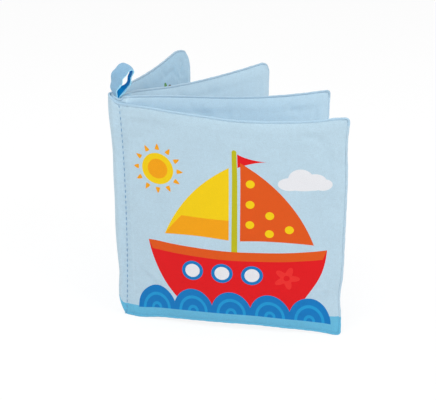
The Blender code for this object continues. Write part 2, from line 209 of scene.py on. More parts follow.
def page_place(leaf, across, up, inset):
    """Place along and up a page, from shares of its width and height, with its free corners rounded."""
    across, up = np.broadcast_arrays(np.asarray(across, float), np.asarray(up, float))
    end = page_end(leaf, up * HEIGHT) - inset
    u = across * end
    foot = page_foot(leaf, u) + inset
    top = page_top(leaf, u) - inset
    z = foot + up * (top - foot)
    radius = max(leaf["corner"] - inset, 0.1 * MM)
    reach = u - (end - radius)
    for level, sense in ((top, 1.0), (foot, -1.0)):
        climb = sense * (z - level) + radius
        inside = (reach > 0.0) & (climb > 0.0)
        size = np.where(inside, np.hypot(reach, climb), 1.0)
        shrink = np.where(inside, np.maximum(reach, climb) / size, 1.0)
        u = np.where(inside, end - radius + reach * shrink, u)
        z = np.where(inside, level + sense * (climb * shrink - radius), z)
    return u, z


print("a page is", round(PAD / MM, 1), "mm thick in its middle and", round(RIM / MM, 1), "mm at its seam")

# %% [markdown]
# ## Cloth
# The book is printed cotton twill. Its diagonal ribs are fine, so they only tint the colour a little
# and lift the surface by hundredths of a millimetre. The effect is a node group, because the covers,
# pages, print, seams and tape all use it, each with its own colour and rib spacing. It follows the
# cloth's own UV map, laid out in metres, so the ribs keep their real size everywhere.

# %% Woven cotton as a node group
def new_group(name, inputs, outputs):
    group = bpy.data.node_groups.new(name, "ShaderNodeTree")
    for label, kind, default in inputs:
        socket = group.interface.new_socket(name=label, in_out="INPUT", socket_type=kind)
        if default is not None:
            socket.default_value = default
    for label, kind in outputs:
        group.interface.new_socket(name=label, in_out="OUTPUT", socket_type=kind)
    return group, group.nodes.new("NodeGroupInput"), group.nodes.new("NodeGroupOutput")


def math_node(tree, operation, *values):
    node = tree.nodes.new("ShaderNodeMath")
    node.operation = operation
    for socket, value in zip(node.inputs, values):
        if isinstance(value, (int, float)):
            socket.default_value = value
        else:
            tree.links.new(value, socket)
    return node.outputs[0]


def noise_node(tree, vector, scale, detail=2.0):
    node = tree.nodes.new("ShaderNodeTexNoise")
    node.inputs["Scale"].default_value = scale
    node.inputs["Detail"].default_value = detail
    tree.links.new(vector, node.inputs["Vector"])
    return node.outputs["Fac"]


def tinted(tree, colour, factor):
    """The colour times a factor, as a colour."""
    node = tree.nodes.new("ShaderNodeVectorMath")
    node.operation = "SCALE"
    tree.links.new(colour, node.inputs[0])
    tree.links.new(factor, node.inputs["Scale"])
    return node.outputs[0]


def woven_cotton_group():
    inputs = [("Vector", "NodeSocketVector", None), ("Colour", "NodeSocketColor", (0.5, 0.6, 0.7, 1.0))]
    for label, value in (("Rib spacing", 0.0006), ("Contrast", 0.10), ("Mottle", 0.06)):
        inputs.append((label, "NodeSocketFloat", value))
    outputs = [("Colour", "NodeSocketColor"), ("Height", "NodeSocketFloat")]
    group, given, result = new_group("woven cotton", inputs, outputs)
    place, spacing = given.outputs["Vector"], given.outputs["Rib spacing"]

    def calc(operation, *values):
        return math_node(group, operation, *values)

    def speckle(scale, detail=2.0):
        """Noise with its middle at zero."""
        return calc("SUBTRACT", noise_node(group, place, scale, detail), 0.5)

    split = group.nodes.new("ShaderNodeSeparateXYZ")
    group.links.new(place, split.inputs[0])
    x, y = split.outputs["X"], split.outputs["Y"]
    wander = calc("MULTIPLY", noise_node(group, place, 900.0), 0.0005)
    lean = calc("ADD", calc("ADD", calc("MULTIPLY", y, 1.5), x), wander)
    ribs = calc("SINE", calc("MULTIPLY", calc("DIVIDE", lean, spacing), 2.0 * math.pi))
    yarn = calc("DIVIDE", calc("SUBTRACT", x, y), spacing)
    threads = calc("SINE", calc("MULTIPLY", yarn, 4.2 * math.pi))
    weave = calc("ADD", calc("MULTIPLY", ribs, 0.35), calc("MULTIPLY", threads, 0.15))
    slubs, clouds, blotches = speckle(2600.0, 3.0), speckle(70.0), speckle(420.0)
    flecks = calc("MULTIPLY", speckle(1150.0), 1.6)
    mottle = calc("ADD", calc("ADD", slubs, clouds), calc("ADD", blotches, flecks))
    light = calc("MULTIPLY", weave, given.outputs["Contrast"])
    light = calc("ADD", light, calc("MULTIPLY", mottle, given.outputs["Mottle"]))
    light = calc("ADD", light, 1.0)
    height = calc("ADD", calc("ADD", weave, 0.5), calc("MULTIPLY", slubs, 0.5))
    group.links.new(tinted(group, given.outputs["Colour"], light), result.inputs["Colour"])
    group.links.new(height, result.inputs["Height"])
    return group


WOVEN = woven_cotton_group()


def linear(red, green, blue):
    """A colour as a screen shows it, from 0 to 255, as linear light."""
    levels = []
    for level in (red / 255.0, green / 255.0, blue / 255.0):
        levels.append(level / 12.92 if level <= 0.04045 else ((level + 0.055) / 1.055) ** 2.4)
    return (*levels, 1.0)


def new_material(name, levels):
    """A material, its tree and its shader, whose named inputs are set to the levels."""
    made = bpy.data.materials.new(name)
    made.use_nodes = True
    shader = made.node_tree.nodes["Principled BSDF"]
    for label, level in levels.items():
        shader.inputs[label].default_value = level
    return made, made.node_tree, shader


def cloth_material(name, colour, rib=0.00105, contrast=0.24, mottle=0.12, sheen=0.25, lift=0.00005):
    levels = {"Roughness": 0.88, "Specular IOR Level": 0.25, "Sheen Weight": sheen, "Sheen Roughness": 0.6}
    made, tree, shader = new_material(name, levels)
    layout = tree.nodes.new("ShaderNodeUVMap")
    layout.uv_map = "cloth"
    woven = tree.nodes.new("ShaderNodeGroup")
    woven.node_tree = WOVEN
    tree.links.new(layout.outputs["UV"], woven.inputs["Vector"])
    given = {"Colour": colour, "Rib spacing": rib, "Contrast": contrast, "Mottle": mottle}
    for label, value in given.items():
        woven.inputs[label].default_value = value
    tree.links.new(woven.outputs["Colour"], shader.inputs["Base Color"])
    relief = tree.nodes.new("ShaderNodeBump")
    relief.inputs["Distance"].default_value = lift
    relief.inputs["Strength"].default_value = 0.7
    tree.links.new(woven.outputs["Height"], relief.inputs["Height"])
    tree.links.new(relief.outputs["Normal"], shader.inputs["Normal"])
    return made


COVER = cloth_material("cover twill", linear(182, 208, 223))
PAGE = cloth_material("page twill", linear(190, 217, 233), mottle=0.10, lift=0.00003)
INSIDE = cloth_material("inner page twill", linear(178, 213, 234), mottle=0.10, lift=0.00003)
# The two seam twills are darker than the cloth they edge. This is painted shade: it tones down the top-lit
# roll and stands in for the shaded line along the edges.
SEAM = cloth_material("page seam twill, painted shade", linear(171, 199, 217), mottle=0.10, lift=0.00003)
COVER_SEAM = cloth_material("cover seam twill, painted shade", linear(172, 203, 223), mottle=0.10)
BAND = cloth_material("darker blue print", linear(100, 183, 217), sheen=0.12)
print("cloth materials:", [m.name for m in bpy.data.materials if "twill" in m.name])

# %% [markdown]
# ## Padding
# A padded page is a flat bag of cloth round a sheet of wadding. The pad starts a little thin and is
# puffed by cloth simulation: pressure from inside, its sewn rim held, and slightly more cloth than
# the outline needs, so that it buckles into the soft puckers of a sewn bag. How far a point may move
# is capped, and the movement fades out towards the seams, so the pages keep their outline.

# %% Puff a page
CELLS = 46
SHARES = np.linspace(0.0, 1.0, CELLS + 1)
PAD_INSET = 1.3 * MM
ROOT_STEP = 0.14 * MM
ROOT_START = 2.0 * MM


def root_shares(leaf):
    """Shares of a page's width whose first ones are moved off the axis, where the folded cloth hides them."""
    return SHARES + ROOT_START / leaf["reach"] * (1.0 - smooth(SHARES * leaf["reach"] / (8.0 * MM)))


def slim_root(u):
    """How much thinner the pad is beside the spine, where the folded cloth lies over it."""
    return ROOT_STEP * (1.0 - smooth((u - 2.4 * MM) / (1.4 * MM)))


def ripple(u, z, leaf, facing):
    """Small puckers along the seams and stitches, which die out inwards."""
    phase = 1.7 * facing + 40.0 * leaf["reach"]

    def waves(way, swing, slow, second, shift):
        """Two waves along a seam, the shorter one of uneven length."""
        short = np.sin(way / (1.45 * MM) + phase + swing * np.sin(way / (slow * MM)))
        return short + 0.6 * np.sin(way / (second * MM) + shift * phase)

    edges = edge_distances(leaf, u, z)
    free, low, high = (np.exp(-np.clip(edge, 0.0, None) / (3.4 * MM)) for edge in edges)
    seams = waves(u, 1.3, 7.1, 2.9, 2.0) * (low + high) + waves(z, 1.1, 6.3, 3.1, -1.0) * free
    turn = 2.0 * math.pi * z / MM
    sewn = np.sin(turn / 7.2 + phase) + 0.5 * np.sin(turn / 11.3 + 0.4 * phase)
    root = np.exp(-np.clip(u, 0.0, None) / (7.0 * MM))
    held = smooth(u / (2.5 * MM))
    for edge in edges:
        held = held * smooth(edge / (1.5 * MM))
    return held * (0.055 * MM * seams + 0.10 * MM * sewn * root)


def ditch(u, z, leaf, facing):
    """How far the cloth dips beside the rolled seam, deeper where a stitch of the seam pulls it in.

    Near the spine the sides that close on each other are a little flatter, which leaves room to turn.
    """
    edges = edge_distances(leaf, u, z)
    nearest = np.clip(np.minimum.reduce(edges) - PAD_INSET, 0.0, None)
    way = np.where(edges[0] <= np.minimum(edges[1], edges[2]), z, u)
    turn = 2.0 * math.pi * way / (3.3 * MM) + 2.0 * facing + 0.8 * np.sin(way / (4.1 * MM))
    pull = 0.5 + 0.5 * np.sin(turn)
    share = 1.0 if leaf is LEAVES["front_cover"] else 0.25
    closing = leaf is LEAVES["leaf_3"] or (leaf is LEAVES["back_cover"] and facing < 0.0)
    closing = closing or (leaf is LEAVES["leaf_2"] and facing > 0.0)
    room = bumps(u, (0.18, 9.0, 8.0)) if closing else 0.0
    dip = 0.30 * np.exp(-nearest / (0.9 * MM)) + 0.24 * pull * np.exp(-nearest / (1.9 * MM))
    return share * MM * dip + room


def cell(i, j, side):
    """The four corners of one cell in a square grid of points, in order round it."""
    return i * side + j, (i + 1) * side + j, (i + 1) * side + j + 1, i * side + j + 1


def bag_faces(count):
    """Quads of a front sheet, a back sheet and the rim between them, over a square grid of points."""
    side = count + 1
    total = side * side
    faces = []
    for i in range(count):
        for j in range(count):
            face = cell(i, j, side)
            faces += [face, tuple(total + v for v in reversed(face))]
    rim = [i * side for i in range(side)] + [count * side + j for j in range(1, side)]
    rim += [i * side + count for i in range(count - 1, -1, -1)] + list(range(count - 1, 0, -1))
    for a, b in zip(rim, rim[1:] + rim[:1]):
        faces.append((b, a, total + a, total + b))
    return faces


PUFF_FRAMES = 20
PUFF_SETTINGS = {
    "quality": 6, "mass": 0.2, "tension_stiffness": 10.0, "compression_stiffness": 10.0,
    "shear_stiffness": 4.0, "bending_stiffness": 0.15, "vertex_group_mass": "sewn",
    "use_pressure": True, "uniform_pressure_force": 4.0, "shrink_min": -0.035,
}


def puffed(points, faces, held):
    """Places of the points after pressure has blown the bag up."""
    mesh = bpy.data.meshes.new("bag")
    mesh.from_pydata([tuple(p) for p in points], [], faces)
    bag = add_object("bag", mesh)
    group = bag.vertex_groups.new(name="sewn")
    for index, weight in enumerate(held):
        if weight > 0.0:
            group.add([index], float(weight), "REPLACE")
    modifier = bag.modifiers.new("Cloth", "CLOTH")
    for label, value in PUFF_SETTINGS.items():
        setattr(modifier.settings, label, value)
    modifier.settings.effector_weights.gravity = 0.0
    modifier.collision_settings.use_collision = False
    modifier.point_cache.frame_start = 1
    modifier.point_cache.frame_end = PUFF_FRAMES
    for number in range(1, PUFF_FRAMES + 1):
        scene.frame_set(number)
    evaluated = bag.evaluated_get(bpy.context.evaluated_depsgraph_get())
    moved = np.array([tuple(v.co) for v in evaluated.data.vertices])
    scene.frame_set(1)
    bpy.data.objects.remove(bag)
    bpy.data.meshes.remove(mesh)
    return moved


# The share of the simulated swell that is kept, and how far it may move a point.
WRINKLES = 0.6
PUFF_CAP = 0.75 * MM


def page_sheets(name):
    """Grids of (u, n, z) for the two faces of a page, puffed."""
    leaf = LEAVES[name]
    u, z = page_place(leaf, root_shares(leaf)[:, None], SHARES[None, :], PAD_INSET)
    middle = page_middle(leaf, u)
    half = page_half(leaf, u, z) - slim_root(u)

    def both(half):
        return [np.stack([u, middle + facing * half, z], axis=-1) for facing in (-1.0, 1.0)]

    sheets = both(half)
    edge = np.minimum.reduce(edge_distances(leaf, u, z))
    free = smooth(edge / (14.0 * MM)) * smooth(u / (16.0 * MM))
    slim = both(half * (1.0 - 0.12 * free))
    start = np.concatenate([s.reshape(-1, 3) for s in slim])
    held = np.concatenate([(1.0 - np.clip(free * 4.0, 0.0, 1.0)).ravel()] * 2)
    moved = puffed(start, bag_faces(CELLS), held)
    lift = (moved - start)[:, 1].reshape(2, CELLS + 1, CELLS + 1)
    for k in range(2):
        blown = slim[k][..., 1] + np.clip(lift[k], -PUFF_CAP, PUFF_CAP) * free
        sheets[k][..., 1] += WRINKLES * (blown - sheets[k][..., 1])
    print(name, "puffed by up to", round(float(np.abs(lift).max()) / MM, 2), "mm")
    for k, facing in enumerate((-1.0, 1.0)):
        sheets[k][..., 1] += facing * ripple(u, z, leaf, facing)
    return sheets


SHEETS = {name: page_sheets(name) for name in LEAVES}
print("pages shaped:", {name: sheets[0].shape for name, sheets in SHEETS.items()})

# %% [markdown]
# ## Reading a sheet between its points
# The print and the cloth are cut finer than the grid, so a sheet is read between its points with a
# smooth spline, which also gives the direction that it faces.

# %% Read a sheet
def spline_weights(t):
    return np.stack([-0.5 * t + t ** 2 - 0.5 * t ** 3, 1.0 - 2.5 * t ** 2 + 1.5 * t ** 3,
                     0.5 * t + 2.0 * t ** 2 - 1.5 * t ** 3, -0.5 * t ** 2 + 0.5 * t ** 3])


def read_sheet(sheet, across, up):
    """Points of a sheet at shares of its width and height."""
    total = 0.0
    a = np.clip(np.asarray(across, float), 0.0, 1.0) * CELLS
    b = np.clip(np.asarray(up, float), 0.0, 1.0) * CELLS
    i = np.minimum(a.astype(int), CELLS - 1)
    j = np.minimum(b.astype(int), CELLS - 1)
    wa, wb = spline_weights(a - i), spline_weights(b - j)
    for p in range(4):
        for q in range(4):
            rows, columns = i + p - 1, j + q - 1
            row, column = np.clip(rows, 0, CELLS), np.clip(columns, 0, CELLS)
            value = sheet[row, column]
            for past, last, before in (
                (rows < 0, sheet[0, column], sheet[1, column]),
                (rows > CELLS, sheet[CELLS, column], sheet[CELLS - 1, column]),
                (columns < 0, sheet[row, 0], sheet[row, 1]),
                (columns > CELLS, sheet[row, CELLS], sheet[row, CELLS - 1]),
            ):
                value = value + np.where(past[..., None], last - before, 0.0)
            total = total + value * (wa[p] * wb[q])[..., None]
    return total


def make_piece(name, points, faces, materials, slots=None, layout=None):
    """A mesh object of the piece, with a UV map in metres where a layout is given."""
    mesh = bpy.data.meshes.new(name)
    mesh.from_pydata([tuple(map(float, p)) for p in points], [], faces)
    for material in materials:
        mesh.materials.append(material)
    if slots is not None:
        mesh.polygons.foreach_set("material_index", np.asarray(slots, dtype=np.int32))
    if layout is not None:
        uv = mesh.uv_layers.new(name="cloth")
        loops = np.zeros(len(mesh.loops), dtype=np.int32)
        mesh.loops.foreach_get("vertex_index", loops)
        uv.data.foreach_set("uv", np.asarray(layout, dtype=np.float32)[loops].ravel())
    mesh.shade_smooth()
    return add_object(name, mesh)


print("spline reader ready")

# %% [markdown]
# ## The print on the front cover
# The print is dye in the cloth, so it has the cloth's own surface and a crisp edge. It is drawn as
# flat outlines in millimetres, and the cover's front sheet is cut along them. Each colour is then a
# material on its own part of one mesh, which keeps its edge sharp at any distance.
# The picture is a plain sailing boat on scalloped waves, with a sun and a cloud.

# %% Outlines of the print
def arcs(corners, step=1.2):
    """A closed outline through corners (x, y, bulge); the bulge bends the side that follows."""
    points = []
    for (x0, y0, bulge), (x1, y1, _) in zip(corners, corners[1:] + corners[:1]):
        chord = math.hypot(x1 - x0, y1 - y0)
        count = max(1, int(chord * (1.0 + abs(bulge)) / step))
        for k in range(count):
            t = k / count
            if abs(bulge) < 1e-6:
                points.append((x0 + t * (x1 - x0), y0 + t * (y1 - y0)))
                continue
            sweep = 4.0 * math.atan(bulge)
            radius = chord / (2.0 * math.sin(sweep / 2.0))
            rise = radius * (math.cos(sweep / 2.0 - t * sweep) - math.cos(sweep / 2.0))
            along = 0.5 * chord - radius * math.sin(sweep / 2.0 - t * sweep)
            dx, dy = (x1 - x0) / chord, (y1 - y0) / chord
            points.append((x0 + along * dx + rise * dy, y0 + along * dy - rise * dx))
    return np.array(points)


def oval(x, y, wide, high=None, count=36):
    high = wide if high is None else high
    turn = np.linspace(0.0, 2.0 * math.pi, count, endpoint=False)
    return np.stack([x + wide * np.cos(turn), y + high * np.sin(turn)], axis=1)


def arch(x, base, wide, high):
    """Half an oval that stands on a level base."""
    turn = np.linspace(0.0, math.pi, 22)
    return np.stack([x + wide * np.cos(turn), base + high * np.sin(turn)], axis=1)


def petals(x, y, reach, count):
    turn = np.linspace(0.0, 2.0 * math.pi, 60, endpoint=False)
    size = reach * (0.74 + 0.26 * np.cos(count * turn))
    return np.stack([x + size * np.cos(turn), y + size * np.sin(turn)], axis=1)


def band_edge(u):
    """Height of the top of the darker band along a cover, in millimetres."""
    u = np.asarray(u, float)
    sag = 0.9 * np.sin(math.pi * np.clip(u / 95.0, 0.0, 1.0))
    return 7.3 - sag + 5.2 * np.clip((u - 60.0) / 75.0, 0.0, 1.0) ** 1.5


SUN = (21.0, 103.0)
SUN_RAYS = 12
CLOUD_PUFFS = ((102.5, 100.8, 7.0, 4.3), (109.0, 104.4, 7.4, 6.4), (117.0, 102.2, 7.2, 5.4),
               (122.5, 100.2, 5.2, 3.7), (111.0, 99.8, 11.0, 3.3))
SAIL_DOTS = ((79, 100), (79, 86), (79, 72), (91, 79), (91, 66.5), (103, 70))
WAVE_RINGS = (("blue", 13.2, 16.5), ("light blue", 9.4, 11.6), ("blue", 7.6, 9.4), ("light blue", 3.6, 4.6),
              ("blue", 1.9, 2.4))


def cover_print():
    """Pairs of colour name and outline, from the bottom layer up."""
    shapes = []

    def add(colour, outline):
        shapes.append((colour, outline))

    edge = np.linspace(-1.0, 136.5, 70)
    add("band", np.concatenate([np.stack([edge, band_edge(edge)], axis=1), [(136.5, -1.0), (-1.0, -1.0)]]))
    for puff in CLOUD_PUFFS:
        add("grey", oval(*puff))
    for k in range(SUN_RAYS):
        turn = 2.0 * math.pi * k / SUN_RAYS
        near, far = (np.array([math.cos(turn), math.sin(turn)]) * r for r in (12.4, 16.4))
        across = np.array([-math.sin(turn), math.cos(turn)])
        corners = [SUN + near + across * 1.5, SUN + near - across * 1.5, SUN + far]
        add("amber", arcs([(*p, 0.12) for p in corners]))
    add("yellow", oval(*SUN, 10.2))
    add("amber", oval(*SUN, 6.4))
    add("lime", arcs([(67.6, 50, 0), (71.4, 50, 0), (71.0, 121, 0.8), (68.0, 121, 0)]))
    add("red", arcs([(71.4, 119.5, 0.1), (89, 115.2, 0.1), (71.4, 110.5, 0)]))
    add("yellow", arcs([(66.0, 110, 0.0), (66.0, 60, 0.04), (25.0, 60, -0.16)]))
    add("amber", arcs([(66.0, 74, 0.0), (66.0, 60, 0.04), (25.0, 60, -0.03), (36.0, 74, 0.02)]))
    add("orange", arcs([(73.0, 114, -0.17), (118.0, 60, 0.05), (73.0, 60, 0)]))
    for x, y in SAIL_DOTS:
        add("yellow", oval(x, y, 2.7))
    add("red", arcs([(14, 55, 0.07), (126, 57, -0.20), (104, 10, 0), (38, 10, -0.16)]))
    add("orange", arcs([(14, 55, 0.07), (126, 57, -0.02), (123.6, 50.5, -0.07), (16.6, 48.6, 0)]))
    for x in (43.0, 62.0, 81.0):
        add("blue", oval(x, 36.0, 6.9))
        add("grey", oval(x, 36.0, 4.7))
    add("light red", petals(102.5, 36.0, 8.2, 5))
    add("red", oval(102.5, 36.0, 1.9))
    for k in range(5):
        for name, wide, high in WAVE_RINGS:
            add(name, arch(18.5 + 24.6 * k, 6.2, wide, high))
    return shapes


PRINT_COLOURS = {"band": BAND}
for word, label, colour, mottle in (
    ("yellow", "yellow print", (240, 203, 0), 0.04),
    ("amber", "amber print", (240, 160, 0), 0.04),
    ("orange", "orange print", (220, 84, 12), 0.05),
    ("red", "red print", (222, 8, 18), 0.04),
    ("light red", "lighter red print", (232, 42, 38), 0.04),
    ("lime", "lime print", (186, 182, 14), 0.05),
    ("blue", "blue print", (0, 118, 188), 0.05),
    ("light blue", "lighter blue print", (22, 150, 208), 0.05),
    ("grey", "pale grey print", (228, 229, 233), 0.03),
    ("green", "green print", (104, 158, 92), 0.05),
    ("bark", "bark print", (104, 98, 80), 0.05),
):
    PRINT_COLOURS[word] = cloth_material(label, linear(*colour), mottle=mottle, sheen=0.06)
print("print shapes on the front cover:", len(cover_print()))

# %% [markdown]
# ## Cutting a sheet along outlines
# A constrained triangulation takes a plain grid of points and the outlines, and gives triangles that
# never cross an outline. The middle of each triangle then tells which shape it lies in.

# %% Cut a sheet
def inside(points, outline):
    """Which points lie inside a closed outline."""
    x, y = points[:, 0], points[:, 1]
    found = np.zeros(len(points), dtype=bool)
    low, high = outline.min(axis=0), outline.max(axis=0)
    near = (x >= low[0]) & (x <= high[0]) & (y >= low[1]) & (y <= high[1])
    px, py = x[near], y[near]
    hit = np.zeros(len(px), dtype=bool)
    for (x0, y0), (x1, y1) in zip(outline, np.roll(outline, -1, axis=0)):
        if y0 == y1:
            continue
        crosses = (y0 > py) != (y1 > py)
        hit ^= crosses & (px < (x1 - x0) * (py - y0) / (y1 - y0) + x0)
    found[near] = hit
    return found


SHEET_CELLS = 140
close = np.array([0.0, 0.003, 0.007, 0.012])
# Shares across a sheet, closer together beside both edges.
SHEET_TICKS = np.concatenate([close, np.linspace(0.018, 0.982, SHEET_CELLS - 7), 1.0 - close[::-1]])


def cut_sheet(leaf, shapes, plain):
    """Shares (across, up) of the points, triangles, and the colour of each triangle."""
    width, height = leaf["reach"] / MM, HEIGHT / MM
    cells, side = SHEET_CELLS, SHEET_CELLS + 1
    points = [(a * width, b * height) for a in SHEET_TICKS for b in SHEET_TICKS]
    last = cells * side
    edges = [(k, k + 1) for k in range(cells)] + [(last + k, last + k + 1) for k in range(cells)]
    edges += [(k * side, (k + 1) * side) for k in range(cells)]
    edges += [(k * side + cells, (k + 1) * side + cells) for k in range(cells)]
    for _, outline in shapes:
        clipped = np.stack([np.clip(outline[:, 0], 0.0, width), np.clip(outline[:, 1], 0.0, height)], axis=1)
        start = len(points)
        points += [tuple(p) for p in clipped]
        edges += [(start + k, start + (k + 1) % len(clipped)) for k in range(len(clipped))]
    flat, _, faces, _, _, _ = delaunay_2d_cdt([Vector(p) for p in points], edges, [], 0, 1e-5)
    flat = np.array([tuple(p) for p in flat])
    triangles = np.array([tuple(f) for f in faces])
    corners = flat[triangles]
    area = np.cross(corners[:, 1] - corners[:, 0], corners[:, 2] - corners[:, 0])
    triangles[area < 0.0] = triangles[area < 0.0][:, ::-1]
    triangles = triangles[np.abs(area) > 1e-7]
    middles = flat[triangles].mean(axis=1)
    colours = np.full(len(triangles), plain, dtype=object)
    for colour, outline in shapes:
        colours[inside(middles, outline)] = colour
    return flat / (width, height), triangles, colours


def grid_sheet(plain):
    shares = np.array([(a, b) for a in SHEET_TICKS for b in SHEET_TICKS])
    triangles = []
    for i in range(SHEET_CELLS):
        for j in range(SHEET_CELLS):
            a, b, c, d = cell(i, j, SHEET_CELLS + 1)
            triangles += [(a, b, c), (a, c, d)]
    return shares, np.array(triangles), np.full(len(triangles), plain, dtype=object)


def rim_order(shares):
    """Indices of the points on the rim, in order round it, and how far round each lies."""
    a, b = shares[:, 0], shares[:, 1]
    near = 1e-6
    trips = [(b < near, a), (a > 1.0 - near, 1.0 + b), (b > 1.0 - near, 3.0 - a), (a < near, 4.0 - b)]
    found = {}
    for on_side, way in trips:
        for index in np.nonzero(on_side)[0]:
            found.setdefault(int(index), float(way[index]) % 4.0)
    order = sorted(found, key=found.get)
    return order, [found[k] for k in order]


def rim_faces(front, back):
    """Triangles between two rims that go round the same way."""
    (one, one_way), (two, two_way) = front, back

    def following(way, k):
        return way[k + 1] if k + 1 < len(way) else 4.0

    faces = []
    i = j = 0
    while i < len(one) or j < len(two):
        a, b = one[i % len(one)], two[j % len(two)]
        if i < len(one) and (j >= len(two) or following(one_way, i) <= following(two_way, j)):
            faces.append((b, one[(i + 1) % len(one)], a))
            i += 1
        else:
            faces.append((b, two[(j + 1) % len(two)], a))
            j += 1
    return faces


def pad_height(leaf, u, level):
    """Height in millimetres on a leaf's pad of a level of the print, both in millimetres."""
    foot = float(page_foot(leaf, np.array(u * MM)) + PAD_INSET) / MM
    top = float(page_top(leaf, np.array(u * MM)) - PAD_INSET) / MM
    return foot + level * (top - foot) / HEIGHT_MM


print("sheet cutter ready")

# %% [markdown]
# ## The four padded leaves
# Each leaf is one closed pad: its front sheet, its back sheet and the narrow rim between them, which
# the rolled seam covers. The two covers carry the darker band along the foot of their outer side.

# %% Build the pads
NAMES = {"cover": COVER, "page": PAGE, "inside": INSIDE, **PRINT_COLOURS}


def plain_band():
    """The darker band of the back cover; its outline is spread out where the corner squeezes the sheet."""
    leaf = LEAVES["back_cover"]
    reach_full = round(leaf["reach"] / MM, 6)
    radius = round((leaf["corner"] - PAD_INSET) / MM, 6)
    width = round((leaf["reach"] - PAD_INSET) / MM, 6)
    stretch = 1.04
    edge = np.linspace(-1.0, 131.0, 110)
    level = band_edge(edge) * stretch
    reach, climb = edge - (width - radius), radius - level
    length = np.hypot(reach, climb)
    longer = np.where(reach > 0.0, length / np.maximum(np.maximum(reach, climb), 0.1), 1.0)
    along = np.where(reach > 0.0, (width - radius + reach * longer) * reach_full / width, edge)
    up = np.where(reach > 0.0, radius - climb * longer, level) / stretch
    kept = along < 136.0
    upper = np.stack([along[kept], up[kept]], axis=1)
    return [("band", np.concatenate([upper, [(137.5, upper[-1][1]), (137.5, -1.0), (-1.0, -1.0)]]))]


def sprig():
    """A small plant low on the back cover's inner page; its tip shows above the leaf before it."""
    shapes = [("green", arcs([(87.5, 92, 0), (88.7, 92, 0), (88.6, 122, 0), (87.7, 122, 0)]))]
    for k, (x, y) in enumerate(((88, 94), (88.3, 100), (88, 106), (88.3, 112))):
        out = 6.5 - 0.7 * k
        shapes.append(("green", arcs([(x, y, 0.45), (x + out, y + 5.5, 0.35)])))
        shapes.append(("green", arcs([(x + 1, y, -0.45), (x + 1 - out, y + 5.5, -0.35)])))
    shapes.append(("bark", arcs([(92.4, 123.6, 0.25), (97.2, 122.3, 0.25)])))
    tip = [(85.3, 120.0, 0.0), (85.5, 127.2, -0.2), (88.2, 127.0, -0.1)]
    tip += [(90.8, 123.0, 0.0), (90.8, 120.0, 0.0)]
    shapes.append(("green", arcs(tip)))
    return shapes


FACES = {
    "front_cover": (("cover", cover_print()), ("inside", None)),
    "leaf_2": (("page", None), ("page", None)),
    "leaf_3": (("page", None), ("page", None)),
    "back_cover": (("inside", sprig()), ("cover", plain_band())),
}


def build_pad(name):
    leaf = LEAVES[name]
    cuts = []
    for (plain, shapes) in FACES[name]:
        cuts.append(grid_sheet(plain) if shapes is None else cut_sheet(leaf, shapes, plain))
    points, layout, faces, colours, rims = [], [], [], [], []
    for k, (shares, triangles, names) in enumerate(cuts):
        start = len(points)
        facing = -1.0 if k == 0 else 1.0
        local = read_sheet(SHEETS[name][k], shares[:, 0], shares[:, 1])
        local[:, 1] -= facing * ditch(local[:, 0], local[:, 2], leaf, facing)
        points += list(placed(leaf, local[:, 0], local[:, 1], np.maximum(local[:, 2], 0.0)))
        layout += [(-facing * p[0], p[2]) for p in local]
        turned = triangles if k == 0 else triangles[:, ::-1]
        faces += [tuple(int(v) + start for v in f) for f in turned]
        colours += list(names)
        order, way = rim_order(shares)
        rims.append(([v + start for v in order], way))
    rim = rim_faces(rims[0], rims[1])
    faces += rim
    colours += [FACES[name][0][0]] * len(rim)
    used = sorted(set(colours))
    slots = [used.index(c) for c in colours]
    pad = make_piece(name + "_pad", points, faces, [NAMES[c] for c in used], slots, layout)
    pad.data.set_sharp_from_angle(angle=math.radians(50))
    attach(pad, name)
    cloths = [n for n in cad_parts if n.startswith(name) and n.endswith("cloth")]
    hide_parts(*cloths, name + "_wadding")
    print(pad.name, len(points), "points,", len(faces), "faces")


for name in LEAVES:
    build_pad(name)

# %% [markdown]
# ## Rolled seams
# The book is sewn inside out and turned, so every free edge ends in a seam that rolls a little past
# it. It is a soft cord of folded cloth: a tube along the outline, a bit uneven, flat where it stands.

# %% Rolled edge seams
SEAM_REACH = 0.80 * MM
SEAM_DEPTH = 0.68 * MM
SEAM_INSET = 0.7 * MM
SEAM_SIDES = 10
PAGE_SEAM_SHARE = 0.82


def run_along(line):
    """How far along a line each of its points lies."""
    return np.concatenate([[0.0], np.cumsum(np.linalg.norm(np.diff(line, axis=0), axis=1))])


def unit(rows):
    return rows / np.linalg.norm(rows, axis=1)[:, None]


def tube(route, reach, depth, outward, uneven, phase, tip=0.0):
    """Points, faces and layout of a closed tube whose reach points outward; it may start as a tip."""
    along = unit(np.gradient(route, axis=0))
    outward = unit(outward - (outward * along).sum(axis=1)[:, None] * along)
    deep = np.cross(along, outward)
    length = run_along(route)
    waves = np.sin(length / (0.83 * MM) + phase) * 0.5 + np.sin(length / (1.9 * MM) + 2.0 * phase) * 0.5
    swell = 1.0 + uneven * waves
    if tip:
        swell = swell * (0.12 + 0.88 * smooth(length / tip))
    turns = np.linspace(0.0, 2.0 * math.pi, SEAM_SIDES, endpoint=False)
    points, layout = [], []
    for k in range(len(route)):
        for turn in turns:
            ring = outward[k] * reach * math.cos(turn) + deep[k] * depth * math.sin(turn)
            points.append(route[k] + swell[k] * ring)
            layout.append((length[k], turn * reach))
    faces = []
    for k in range(len(route) - 1):
        for s in range(SEAM_SIDES):
            a, b = k * SEAM_SIDES + s, k * SEAM_SIDES + (s + 1) % SEAM_SIDES
            faces.append((a, b, b + SEAM_SIDES, a + SEAM_SIDES))
    faces.append(tuple(range(SEAM_SIDES))[::-1])
    faces.append(tuple((len(route) - 1) * SEAM_SIDES + s for s in range(SEAM_SIDES)))
    return points, faces, layout


